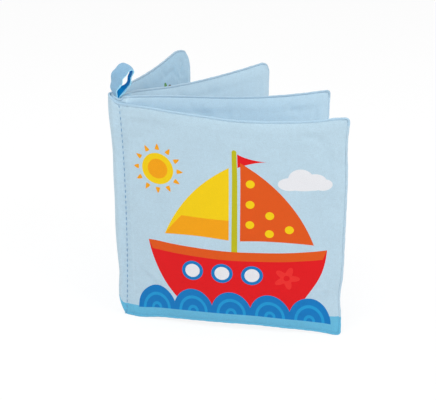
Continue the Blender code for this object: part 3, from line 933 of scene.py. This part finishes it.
def seam_shares(leaf):
    """Shares round the three free edges, closer together round the corners."""
    turn = max(leaf["corner"], SEAM_INSET) * 1.05
    wide, high = turn / leaf["reach"], turn / HEIGHT
    start = 2.2 * MM / leaf["reach"]
    round_corner = np.linspace(0.1, 1.0, 10)
    top = [(s, 1.0) for s in np.linspace(start, 1.0 - wide, 110)]
    top += [(1.0 - wide * (1.0 - t), 1.0) for t in round_corner]
    free = [(1.0, 1.0 - high * t) for t in round_corner]
    free += [(1.0, s) for s in np.linspace(1.0 - high, high, 100)[1:]]
    free += [(1.0, high * (1.0 - t)) for t in round_corner]
    foot = [(s, 0.0) for s, _ in reversed(top[:-1])]
    return np.array(top + free + foot)


def build_seam(name):
    leaf = LEAVES[name]
    shares = seam_shares(leaf)
    u, z = page_place(leaf, shares[:, 0], shares[:, 1], SEAM_INSET)
    n = page_middle(leaf, u)
    route = placed(leaf, u, n, z)
    du, dz = np.gradient(u), np.gradient(z)
    out = placed(leaf, -dz, 0.0 * u, du) - placed(leaf, 0.0 * u, 0.0 * u, 0.0 * u)
    depth = SEAM_DEPTH if name == "front_cover" else PAGE_SEAM_SHARE * SEAM_DEPTH
    points, faces, layout = tube(route, SEAM_REACH, depth, out, 0.14, 9.0 * leaf["reach"] / MM)
    points = [(p[0], p[1], max(0.0, p[2])) for p in points]
    turn = math.radians(leaf["angle"])
    off = np.array([-math.sin(turn), math.cos(turn), 0.0]) * leaf["side"]
    slots = []
    for face in faces:
        ring = face[0] // SEAM_SIDES
        middle = np.mean([points[v] for v in face], axis=0)
        band = pad_height(leaf, u[ring] / MM, float(band_edge(u[ring] / MM))) * MM
        outside = (middle - route[ring]) @ off > -0.15 * MM
        slot = 1 if "cover" in name and outside and middle[2] < band else 0
        # On the free edge the seam keeps the plain cloth colour. Elsewhere it takes the darker seam twill,
        # which carries painted shade.
        free_side = u[ring] > leaf["reach"] - 4.0 * MM and z[ring] < HEIGHT - 3.0 * MM
        slots.append(2 if free_side and slot == 0 else slot)
    rolled = COVER_SEAM if name == "front_cover" else SEAM
    plain = COVER if name == "front_cover" else PAGE
    seam = make_piece(name + "_seam", points, faces, [rolled, BAND, plain], slots, layout)
    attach(seam, name)
    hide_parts(name + "_edge_seam")
    return seam


SEAMS = [build_seam(name) for name in LEAVES]
print("seams:", [s.name for s in SEAMS])

# %% [markdown]
# ## The folded spine
# Beside the fold a line of stitching pulls all the layers together into a valley. Each half of each
# spread is one closed form: it starts at the nose of the fold, passes the valley and ends over the
# root of its leaf. The rows of its cross-sections follow the darker band, which wraps the fold.

# %% Cross-sections of the fold
STITCH_X = -0.8
STITCH_PITCH = 3.6
STITCH_START = 2.5
FOLD_COLUMNS = 34
LEAF_END = 3.6


def stitch_place(z):
    """Where the stitch line lies at a height, in millimetres; its ends curve back towards the nose."""
    return STITCH_X + 2.3 * np.sin(math.pi * np.clip(z, 0.0, HEIGHT_MM) / HEIGHT_MM) ** 0.6


def nose_place(z):
    """How far the fold reaches back; it is waisted half way up and its corner at the foot is pushed in."""
    pushed = 3.9 * np.clip(1.0 - z / 9.2, 0.0, 1.0) ** 2 - 0.15 * bump(z, 9.0, 4.5)
    waist = 0.5 * smooth((z - 14.0) / 12.0) * (1.0 - smooth((z - 102.0) / 14.0)) + 0.45 * bump(z, 24.0, 8.0)
    ends = 1.15 * (1.0 - smooth((z - 22.0) / 28.0)) - 1.3 * smooth((z - 112.0) / 22.0)
    return -6.85 + ends + waist + pushed + 0.1 * np.sin(z / 5.2)


def valley_depth(z):
    """Half the thickness of the stack in the valley; each stitch pulls it in a little more."""
    pull = 0.5 - 0.5 * math.cos(2.0 * math.pi * (z - STITCH_START) / STITCH_PITCH)
    return 2.25 + 0.28 * pull + 0.10 * math.sin(z / 9.0)


def smooth_line(corners, count):
    """Points spaced evenly along a smooth line through the corners."""
    corners = np.array(corners, float)
    lengths = np.linalg.norm(np.diff(corners, axis=0), axis=1) ** 0.5
    knots = np.concatenate([[0.0], np.cumsum(lengths)])
    slopes = np.zeros_like(corners)
    slopes[1:-1] = (corners[2:] - corners[:-2]) / (knots[2:] - knots[:-2])[:, None]
    slopes[0] = (corners[1] - corners[0]) / (knots[1] - knots[0])
    slopes[-1] = (corners[-1] - corners[-2]) / (knots[-1] - knots[-2])
    fine = []
    for k in range(len(corners) - 1):
        h = knots[k + 1] - knots[k]
        for t in np.linspace(0.0, 1.0, 14, endpoint=False):
            fine.append((2 * t ** 3 - 3 * t ** 2 + 1) * corners[k] + (t ** 3 - 2 * t ** 2 + t) * h * slopes[k]
                        + (3 * t ** 2 - 2 * t ** 3) * corners[k + 1] + (t ** 3 - t ** 2) * h * slopes[k + 1])
    fine.append(corners[-1])
    fine = np.array(fine)
    run = run_along(fine)
    at = np.linspace(0.0, run[-1], count)
    return np.stack([np.interp(at, run, fine[:, 0]), np.interp(at, run, fine[:, 1])], axis=1)


def leaf_side(name, facing, u, z, proud):
    """Points on one face of a leaf near its root, in millimetres; the last one dives into the pad."""
    leaf = LEAVES[name]
    u = np.asarray(u, float) * MM
    top = page_top(leaf, u)
    high = np.clip(top * z / HEIGHT_MM, page_foot(leaf, u) + 1.0 * MM, top - 1.0 * MM)
    half = page_half(leaf, u, high) + ripple(u, high, leaf, facing) - ditch(u, high, leaf, facing)
    half = half + np.array([proud] * (len(u) - 1) + [-proud])
    place = placed(leaf, u, page_middle(leaf, u) + facing * half, high)
    return [(p[0] / MM, p[1] / MM) for p in place]


def fold_lines(name, z):
    """The outer and the inner line of one half of a spread at a height, from the nose to the leaf."""
    leaf = LEAVES[name]
    hinge = leaf["hinge"]
    cover = name in ("front_cover", "back_cover")
    stitch, nose, valley = stitch_place(z), nose_place(z), valley_depth(z)
    room = stitch - nose
    share = float(smooth(room / 6.0))
    bulge = valley + (4.15 - valley) * share
    centre = nose + 0.46 * room

    def back(depth, thick, reach):
        """The part behind the stitches: round the nose, along the leg and into the valley."""
        turns = np.radians([0.0, 18.0, 38.0, 62.0, 88.0])
        round_nose = centre - nose - depth
        points = [(centre - round_nose * math.cos(t), hinge * thick * math.sin(t)) for t in turns]
        points.append((stitch - 0.34 * (stitch - centre), hinge * (reach + 0.42 * (thick - reach))))
        points.append((stitch, hinge * reach))
        return points

    if cover:
        outer = back(0.0, bulge, valley) + [(stitch + 0.9, hinge * (valley + 0.16))]
        outer += leaf_side(name, leaf["side"], (1.7, 2.6, LEAF_END), z, 0.04 * MM)
        inner = back(1.35 * share + 0.1, bulge - 1.35 * share - 0.1, 1.12) + [(1.3, hinge * 1.05)]
        inner += leaf_side(name, -leaf["side"], (1.0, 2.2, LEAF_END), z, 0.03 * MM)
    else:
        outer = back(1.45 * share + 0.2, bulge - 1.45 * share - 0.2, 1.02) + [(1.3, hinge * 0.95)]
        outer += leaf_side(name, leaf["side"] * -1, (1.0, 2.2, LEAF_END), z, 0.03 * MM)
        inner = back(min(3.3 * share + 0.3, 0.8 * room), 0.03, 0.03) + [(1.3, hinge * 0.05)]
        inner += leaf_side(name, leaf["side"], (1.0, 2.2, LEAF_END), z, 0.03 * MM)
    return smooth_line(outer, FOLD_COLUMNS), smooth_line(inner, FOLD_COLUMNS)


print("the fold is", round(float(stitch_place(70.0) - nose_place(70.0)), 1), "mm deep half way up")

# %% [markdown]
# ## Lofting the fold
# The cross-sections are stacked up the spine. The top edge climbs from the stitches to the nose, so
# it slopes as it does on the real book, and a rolled seam follows it round every layer.

# %% Build the four halves of the spreads
BAND_ROWS = 9
CLOTH_ROWS = 150
TOP_CUT = 137.0
CLOTH_SLOT, BAND_SLOT, INSIDE_SLOT, ROLL_SLOT = range(4)
NOSE_TOP = {"front_cover": 147.1, "leaf_2": 147.7, "leaf_3": 147.7, "back_cover": 147.1}
STITCH_TOP = {"front_cover": 141.9, "leaf_2": 144.0, "leaf_3": 146.3, "back_cover": 148.2}


def top_height(name, x, u):
    """Height in millimetres of the top edge at a place of the fold (x) or of the leaf (u >= 0)."""
    leaf = LEAVES[name]
    if u is not None and u >= 0.0:
        return float(page_top(leaf, np.array(u * MM))) / MM
    root = float(page_top(leaf, np.array(0.0))) / MM
    nose, stitch = nose_place(TOP_CUT), stitch_place(TOP_CUT)
    fall = float(smooth((x - nose - 0.4) / (stitch - nose - 0.4)))
    climb = float(smooth((x - stitch - 0.3) / 1.9))
    return NOSE_TOP[name] + (STITCH_TOP[name] - NOSE_TOP[name]) * fall + (root - STITCH_TOP[name]) * climb


def fold_band(leaf, run):
    """Height of the top of the darker band on the fold; it climbs towards the nose."""
    climb = 0.017 * min(max(-run - 2.5, 0.0), 7.0) ** 3
    return pad_height(leaf, max(run, LEAF_END), float(band_edge(LEAF_END))) + climb


def column_heights(name, line):
    """Top height and unrolled place of each column of a line, in millimetres."""
    leaf = LEAVES[name]
    turn = math.radians(leaf["angle"])
    run = run_along(line)
    flat = run - run[-1] + LEAF_END
    heights = []
    for k, (x, y) in enumerate(line):
        u = (x - HINGE_X) * math.cos(turn) + (y - leaf["hinge"] * HINGE_Y) * math.sin(turn)
        beside = flat[k] > 0.2
        heights.append(top_height(name, x, max(0.0, u) if beside else None))
    heights = np.array(heights)
    soft = heights.copy()
    soft[1:-1] = 0.25 * heights[:-2] + 0.5 * heights[1:-1] + 0.25 * heights[2:]
    return soft, flat


def fold_roll(line, heights, low):
    """The rolled seam along the top or the foot of a fold; the one at the foot starts as a tip."""
    route = np.stack([line[:, 0] * MM, line[:, 1] * MM, heights * MM], axis=1)
    fine = np.linspace(6.0 if low else 0.0, FOLD_COLUMNS - 1.0, 3 * FOLD_COLUMNS)
    route = np.stack([np.interp(fine, np.arange(FOLD_COLUMNS), route[:, c]) for c in range(3)], axis=1)
    up = np.tile((0.0, 0.0, 1.0), (len(route), 1))
    points, faces, layout = tube(route, SEAM_REACH, SEAM_DEPTH, up, 0.08, 3.0, 3.0 * MM if low else 0.0)
    return [(p[0], p[1], max(0.0, p[2])) for p in points], faces, layout


def build_fold(name):
    cover = name in ("front_cover", "back_cover")
    leaf = LEAVES[name]
    top_lines = fold_lines(name, TOP_CUT)
    (outer_top, outer_flat), (inner_top, inner_flat) = (column_heights(name, line) for line in top_lines)
    tops = np.concatenate([outer_top, inner_top[::-1]]) - 0.9
    flat = np.concatenate([outer_flat, inner_flat[::-1]])
    shares = np.concatenate([
        np.linspace(0.0, 1.0, BAND_ROWS + 1),
        np.linspace(1.0, 1.97, CLOTH_ROWS + 1)[1:],
        np.linspace(1.97, 2.0, 13)[1:],
    ])
    band = [fold_band(leaf, run) for run in flat]
    low, middle = 0.85, fold_band(leaf, 0.0)
    points, layout = [], []
    for share in shares:
        nominal = middle * share if share <= 1.0 else middle + (share - 1.0) * (HEIGHT_MM - middle)
        outer, inner = fold_lines(name, float(nominal))
        ring = np.concatenate([outer, inner[::-1]])
        across = np.concatenate([inner - outer, (outer - inner)[::-1]])
        across /= np.maximum(np.linalg.norm(across, axis=1), 1e-6)[:, None]
        for k, (x, y) in enumerate(ring):
            if share <= 1.0:
                z = low + (band[k] - low) * share
            else:
                z = band[k] + (tops[k] - band[k]) * (share - 1.0)
            pull = 0.45 * math.exp(-max(0.0, min(tops[k] - z, z - low) - 0.5) / 0.7)
            pull *= 1.0 - float(smooth(flat[k] / 2.5))
            points.append(((x + pull * across[k][0]) * MM, (y + pull * across[k][1]) * MM, z * MM))
            layout.append((flat[k] * MM, z * MM))
    columns = 2 * FOLD_COLUMNS
    faces, slots = [], []
    front = leaf["hinge"] < 0
    for r in range(len(shares) - 1):
        for k in range(columns):
            a, b = r * columns + k, r * columns + (k + 1) % columns
            face = (a, b, b + columns, a + columns)
            faces.append(face if front else face[::-1])
            on_outer = k < FOLD_COLUMNS
            outer_slot = BAND_SLOT if cover and r < BAND_ROWS else CLOTH_SLOT
            slots.append(outer_slot if on_outer else INSIDE_SLOT)
    for r, sense in ((0, 1), (len(shares) - 1, -1)):
        for k in range(FOLD_COLUMNS - 1):
            a, b = r * columns + k, r * columns + k + 1
            c, d = r * columns + columns - 2 - k, r * columns + columns - 1 - k
            face = (a, d, c, b)
            faces.append(face if (sense > 0) == front else face[::-1])
            slots.append(CLOTH_SLOT)
    rolls = (
        (top_lines, (outer_top + inner_top) / 2.0 - 0.7, False),
        (fold_lines(name, 0.5), np.full(FOLD_COLUMNS, 0.72), True),
    )
    for lines, heights, low in rolls:
        made, made_faces, made_layout = fold_roll((lines[0] + lines[1]) / 2.0, heights, low)
        start = len(points)
        points += made
        layout += made_layout
        faces += [tuple(v + start for v in f) for f in made_faces]
        slots += [BAND_SLOT if low and cover else ROLL_SLOT] * len(made_faces)
    plain = COVER if cover else PAGE
    # The fold's rolls take the seam twill, which is darkened as painted shade.
    rolled = COVER_SEAM if name == "front_cover" else SEAM
    fold = make_piece(name + "_fold", points, faces, [plain, BAND, INSIDE, rolled], slots, layout)
    fold.data.set_sharp_from_angle(angle=math.radians(60))
    axis = (HINGE_X, leaf["hinge"] * HINGE_Y)
    start = Vector((1.2 * MM, axis[1] * MM, 0.07))
    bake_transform(fold)
    print(fold.name, len(points), "points")
    return fold


FOLDS = {name: build_fold(name) for name in LEAVES}
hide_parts("spine_cover_cloth", "spine_wadding", "spine_lining_cloth")
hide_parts("inner_spread_fold_cloth", "inner_spread_fold_wadding",
            "inner_spread_fold_lining")

# %% [markdown]
# ## Stitches
# One line of lock stitches holds the fold. Each stitch is a short length of thread that dips into the
# cloth at both ends, and the same stitch repeats every few millimetres, so Geometry Nodes set it
# along a line: the line is cut at the stitch pitch and a bead of thread, stretched to a stitch's length,
# stands at each point.

# %% Stitches along a line
THREAD, thread_tree, thread_shader = new_material("sewing thread", {"Roughness": 0.6, "Sheen Weight": 0.3})
thread_place = thread_tree.nodes.new("ShaderNodeTexCoord")
thread_tint = thread_tree.nodes.new("ShaderNodeMix")
thread_tint.data_type = "RGBA"
thread_tint.inputs[6].default_value = linear(74, 126, 172)
thread_tint.inputs[7].default_value = linear(112, 160, 198)
thread_twist = noise_node(thread_tree, thread_place.outputs["Object"], 1800.0)
thread_tree.links.new(thread_twist, thread_tint.inputs[0])
thread_tree.links.new(thread_tint.outputs[2], thread_shader.inputs["Base Color"])


def stitch_tree():
    """Geometry Nodes: one stitch at each step along a line."""
    tree = bpy.data.node_groups.new("stitches along a line", "GeometryNodeTree")
    tree.interface.new_socket(name="Line", in_out="INPUT", socket_type="NodeSocketGeometry")
    for label, default in (("Pitch", 0.0036), ("Stitch length", 0.0026), ("Thread width", 0.0005)):
        socket = tree.interface.new_socket(name=label, in_out="INPUT", socket_type="NodeSocketFloat")
        socket.default_value = default
    tree.interface.new_socket(name="Stitches", in_out="OUTPUT", socket_type="NodeSocketGeometry")
    new = tree.nodes.new
    given, result = new("NodeGroupInput"), new("NodeGroupOutput")
    curve = new("GeometryNodeMeshToCurve")
    spaced = new("GeometryNodeResampleCurve")
    spaced.mode = "LENGTH"
    bead = new("GeometryNodeMeshUVSphere")
    for label, value in (("Segments", 8), ("Rings", 6), ("Radius", 0.5)):
        bead.inputs[label].default_value = value
    size = new("ShaderNodeCombineXYZ")
    tangent = new("GeometryNodeInputTangent")
    turn = new("FunctionNodeAlignRotationToVector")
    turn.axis = "Z"
    at_points = new("GeometryNodeInstanceOnPoints")
    real = new("GeometryNodeRealizeInstances")
    smooth_faces = new("GeometryNodeSetShadeSmooth")
    finish = new("GeometryNodeSetMaterial")
    finish.inputs["Material"].default_value = THREAD
    for source, output, target, entry in (
        (given, "Line", curve, "Mesh"),
        (curve, "Curve", spaced, "Curve"),
        (given, "Pitch", spaced, "Length"),
        (spaced, "Curve", at_points, "Points"),
        (bead, "Mesh", at_points, "Instance"),
        (tangent, "Tangent", turn, "Vector"),
        (turn, "Rotation", at_points, "Rotation"),
        (given, "Thread width", size, "X"),
        (given, "Thread width", size, "Y"),
        (given, "Stitch length", size, "Z"),
        (size, "Vector", at_points, "Scale"),
        (at_points, "Instances", real, "Geometry"),
        (real, "Geometry", smooth_faces, "Geometry"),
        (smooth_faces, "Geometry", finish, "Geometry"),
        (finish, "Geometry", result, "Stitches"),
    ):
        tree.links.new(source.outputs[output], target.inputs[entry])
    return tree


STITCHES = stitch_tree()


def stitched(name, route, node):
    """The stitches along a route of points, as a plain mesh."""
    line = bpy.data.meshes.new(name + "_line")
    line.from_pydata([tuple(p) for p in route], [(k, k + 1) for k in range(len(route) - 1)], [])
    guide = add_object(name + "_line", line)
    modifier = guide.modifiers.new("stitches", "NODES")
    modifier.node_group = STITCHES
    for item in STITCHES.interface.items_tree:
        if item.item_type == "SOCKET" and item.in_out == "INPUT" and item.name == "Pitch":
            modifier[item.identifier] = STITCH_PITCH * MM
    evaluated = guide.evaluated_get(bpy.context.evaluated_depsgraph_get())
    mesh = bpy.data.meshes.new_from_object(evaluated)
    bpy.data.objects.remove(guide)
    made = add_object(name, mesh)
    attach(made, "spine")
    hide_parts(node)
    print(name, len(mesh.vertices), "points")


heights = np.linspace(STITCH_START, 139.2, 120)
for side, word, node in ((-1, "front", "spine_stitching_front"), (1, "back", "spine_stitching_back")):
    route = [(stitch_place(z) * MM, side * (valley_depth(z) + 0.10) * MM, z * MM) for z in heights]
    stitched("stitches_" + word, route, node)

# %% [markdown]
# ## Hanging loop
# A strip of tape is bent over into a loop and both ends are caught in the stitches. The tape twists
# as it goes round, so the near side shows its pale outer face and the far side its deep blue inner
# face. It is made as a ribbon between two edge lines, then given its thickness.

# %% The tape
TAPE_OUT = cloth_material("tape outer face", linear(135, 180, 211), rib=0.0008, contrast=0.20, mottle=0.18)
TAPE_IN = cloth_material("tape inner face", linear(0, 146, 214), rib=0.0008, contrast=0.16, sheen=0.0)
# The pale edge colour is the tape's selvage on its sides, its ends and the edge of its inner face. On the
# near outer face it is also a painted highlight.
TAPE_EDGE = cloth_material("tape selvage and painted highlight", linear(157, 224, 250), rib=0.0008, contrast=0.12)
LEFT_EDGE = (
    (-2.7, -0.4, 141.0), (-3.1, -0.6, 143.6), (-4.5, -0.6, 145.9), (-5.7, -0.4, 148.3), (-6.5, 0.0, 151.7),
    (-6.4, 0.4, 154.9), (-5.8, 0.8, 158.3), (-5.2, 1.6, 160.6), (-3.5, 2.8, 162.5), (-1.3, 4.2, 164.1),
    (1.1, 5.8, 164.8), (3.1, 7.2, 162.8), (3.7, 7.8, 159.9), (3.4, 7.6, 156.5), (3.1, 6.4, 153.7),
    (1.7, 4.1, 151.9), (-0.8, 1.9, 150.0), (-2.3, 0.7, 147.8), (-2.4, 0.1, 145.7), (-2.6, 0.2, 143.5),
    (-2.6, 0.25, 141.0),
)
RIGHT_EDGE = (
    (-1.2, -0.45, 141.0), (-1.5, -0.75, 143.2), (-2.0, -1.6, 145.6), (-1.6, -3.0, 148.9), (0.2, -4.2, 151.6),
    (2.4, -4.8, 155.0), (3.0, -4.8, 157.6), (4.7, -4.4, 160.0), (6.2, -3.6, 161.6), (7.7, -2.6, 162.6),
    (9.0, -1.4, 162.9), (8.9, -0.4, 161.4), (8.1, 0.2, 159.3), (7.3, 0.4, 156.4), (6.6, 0.4, 154.1),
    (5.7, 0.4, 151.7), (3.9, 0.1, 149.2), (1.7, -0.4, 146.8), (-0.3, -0.35, 144.9), (-1.1, -0.1, 143.1),
    (-1.2, 0.2, 141.0),
)
TAPE_STEPS = 150
TAPE_ACROSS = 12
TAPE_THICK = 0.55
TAPE_WIDTH = 10.0
TAPE_HIGHLIGHT_STEPS = 34
OUT_SLOT, IN_SLOT, EDGE_SLOT = range(3)


def smooth_path(corners, count):
    corners = np.array(corners, float)
    at = np.linspace(0.0, len(corners) - 1.0, count)
    k = np.minimum(at.astype(int), len(corners) - 2)
    weights = spline_weights(at - k)
    padded = np.concatenate([[2 * corners[0] - corners[1]], corners, [2 * corners[-1] - corners[-2]]])
    return sum(weights[p][:, None] * padded[k + p] for p in range(4))


def build_loop():
    left, right = smooth_path(LEFT_EDGE, TAPE_STEPS), smooth_path(RIGHT_EDGE, TAPE_STEPS)
    centre = (left + right) / 2.0
    along = unit(np.gradient(centre, axis=0))
    across = right - left
    width = np.linalg.norm(across, axis=1)[:, None]
    across /= width
    out = unit(np.cross(along, across))
    if out[TAPE_STEPS // 4][1] > 0.0:
        out = -out
    run = run_along(centre)
    points, layout = [], []
    for side in (1.0, -1.0):
        for k in range(TAPE_STEPS):
            loose = float(smooth((run[k] - 3.0) / 5.0) * smooth((run[-1] - run[k] - 3.0) / 5.0))
            for s in range(TAPE_ACROSS + 1):
                t = s / TAPE_ACROSS
                edge = 2.0 * t - 1.0
                wave = 0.42 * loose * abs(edge) ** 3 * math.sin(run[k] / 1.25 + (1.2 if edge > 0 else 0.0))
                camber = -0.45 * loose * edge * edge
                off = side * TAPE_THICK / 2.0 + wave + camber
                place = left[k] + across[k] * width[k] * t + out[k] * off
                points.append(place * MM)
                layout.append((t * TAPE_WIDTH * MM, run[k] * MM))
    row, total = TAPE_ACROSS + 1, TAPE_STEPS * (TAPE_ACROSS + 1)
    faces, slots = [], []
    for k in range(TAPE_STEPS - 1):
        for s in range(TAPE_ACROSS):
            a, d, c, b = cell(k, s, row)
            faces += [(a, b, c, d), (total + d, total + c, total + b, total + a)]
            # On the near steps the outer face's last column takes the pale edge colour. It is partly the pale
            # selvage and partly a painted highlight where the lit edge of the tape catches the light.
            pale_edge_and_highlight = s == TAPE_ACROSS - 1 and k < TAPE_HIGHLIGHT_STEPS
            slots += [EDGE_SLOT if pale_edge_and_highlight else OUT_SLOT, EDGE_SLOT if s >= TAPE_ACROSS - 3 else IN_SLOT]
        a, d = k * row, (k + 1) * row
        faces.append((a, d, total + d, total + a))
        b, c = a + TAPE_ACROSS, d + TAPE_ACROSS
        faces.append((c, b, total + b, total + c))
        slots += [EDGE_SLOT] * 2
    for k in (0, TAPE_STEPS - 1):
        for s in range(TAPE_ACROSS):
            a, b = k * row + s, k * row + s + 1
            faces.append((b, a, total + a, total + b) if k == 0 else (a, b, total + b, total + a))
            slots.append(EDGE_SLOT)
    loop = make_piece("tape_loop", points, faces, [TAPE_OUT, TAPE_IN, TAPE_EDGE], slots, layout)
    work = bmesh.new()
    work.from_mesh(loop.data)
    bmesh.ops.recalc_face_normals(work, faces=work.faces)
    work.to_mesh(loop.data)
    work.free()
    loop.data.set_sharp_from_angle(angle=math.radians(50))
    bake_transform(loop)
    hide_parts("hanging_loop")
    print("tape is", round(float(run[-1]), 1), "mm long and up to", round(float(width.max()), 1), "mm wide")


build_loop()

# %% [markdown]
# The two ends of the tape lie flat between the folded layers, where the stitches catch them.

# %% Tails of the tape
def build_tails():
    points, layout = [], []
    levels = np.linspace(132.5, 143.6, 8)
    for z in levels:
        for x, y in ((-2.9, -0.3), (-0.7, -0.3), (-0.7, 0.3), (-2.9, 0.3)):
            points.append((x * MM, y * MM, z * MM))
            layout.append((x * MM, z * MM))
    faces = []
    for k in range(len(levels) - 1):
        for s in range(4):
            faces.append(tuple(k * 4 + v for v in (s, (s + 1) % 4, (s + 1) % 4 + 4, s + 4)))
    faces += [(3, 2, 1, 0), tuple((len(levels) - 1) * 4 + s for s in range(4))]
    tails = make_piece("tape_tails", points, faces, [TAPE_OUT], None, layout)
    tails.data.set_sharp_from_angle(angle=math.radians(40))
    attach(tails, "spine")
    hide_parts("hanging_loop_tails")


build_tails()

# %% [markdown]
# ## Floor and light
# The book stands on a pale floor in soft studio light: a large lamp high at the left front, a weaker
# one at the right and an even white world. The camera sees the floor and the world as white, and the
# floor keeps a faint shadow where the book touches it.

# %% Floor, world and lamps
def seen_directly(tree):
    """1 for rays of the camera, of reflections and through glass; 0 for the rays that light."""
    path = tree.nodes.new("ShaderNodeLightPath")
    seen = math_node(tree, "MAXIMUM", path.outputs["Is Camera Ray"], path.outputs["Is Glossy Ray"])
    return math_node(tree, "MAXIMUM", seen, path.outputs["Is Transmission Ray"])


def white_to_camera(tree, surface):
    """A shader that the camera and reflections see as nearly white, and that lights as the surface."""
    share = math_node(tree, "MULTIPLY", seen_directly(tree), 0.80)
    glow = tree.nodes.new("ShaderNodeEmission")
    glow.inputs["Color"].default_value = (1.0, 1.0, 1.0, 1.0)
    glow.inputs["Strength"].default_value = 1.05
    mix = tree.nodes.new("ShaderNodeMixShader")
    tree.links.new(share, mix.inputs[0])
    tree.links.new(surface, mix.inputs[1])
    tree.links.new(glow.outputs[0], mix.inputs[2])
    return mix.outputs[0]


corners = [(-3.0, -3.0, 0.0), (3.0, -3.0, 0.0), (3.0, 3.0, 0.0), (-3.0, 3.0, 0.0)]
floor_mesh = bpy.data.meshes.new("floor")
floor_mesh.from_pydata(corners, [], [(0, 1, 2, 3)])
floor = add_object("floor", floor_mesh)
floor_paint, floor_tree, floor_shader = new_material(
    "white floor", {"Base Color": (0.90, 0.90, 0.90, 1.0), "Roughness": 0.9})
floor_look = white_to_camera(floor_tree, floor_shader.outputs[0])
floor_tree.links.new(floor_look, floor_tree.nodes["Material Output"].inputs["Surface"])
floor_mesh.materials.append(floor_paint)

world = bpy.data.worlds.new("studio")
world.use_nodes = True
scene.world = world
sky = world.node_tree.nodes["Background"]
sky.inputs["Color"].default_value = (1.0, 1.0, 1.0, 1.0)
brighter = math_node(world.node_tree, "MULTIPLY", seen_directly(world.node_tree), 0.38)
world.node_tree.links.new(math_node(world.node_tree, "ADD", brighter, 0.62), sky.inputs["Strength"])


LAMP_AIM = Vector((0.06, 0.0, 0.07))


def lamp(name, place, size, power):
    data = bpy.data.lights.new(name, "AREA")
    data.shape = "SQUARE"
    data.size = size
    data.energy = power
    made = add_object(name, data)
    made.location = place
    made.rotation_euler = (Vector(place) - LAMP_AIM).to_track_quat("Z", "Y").to_euler()


lamp("key", (-0.18, -0.60, 0.98), 0.7, 4.3)
lamp("fill", (1.15, -0.40, 0.80), 0.8, 5.0)
lamp("top", (0.10, 0.30, 1.10), 0.9, 0.8)
scene.view_settings.view_transform = "Standard"
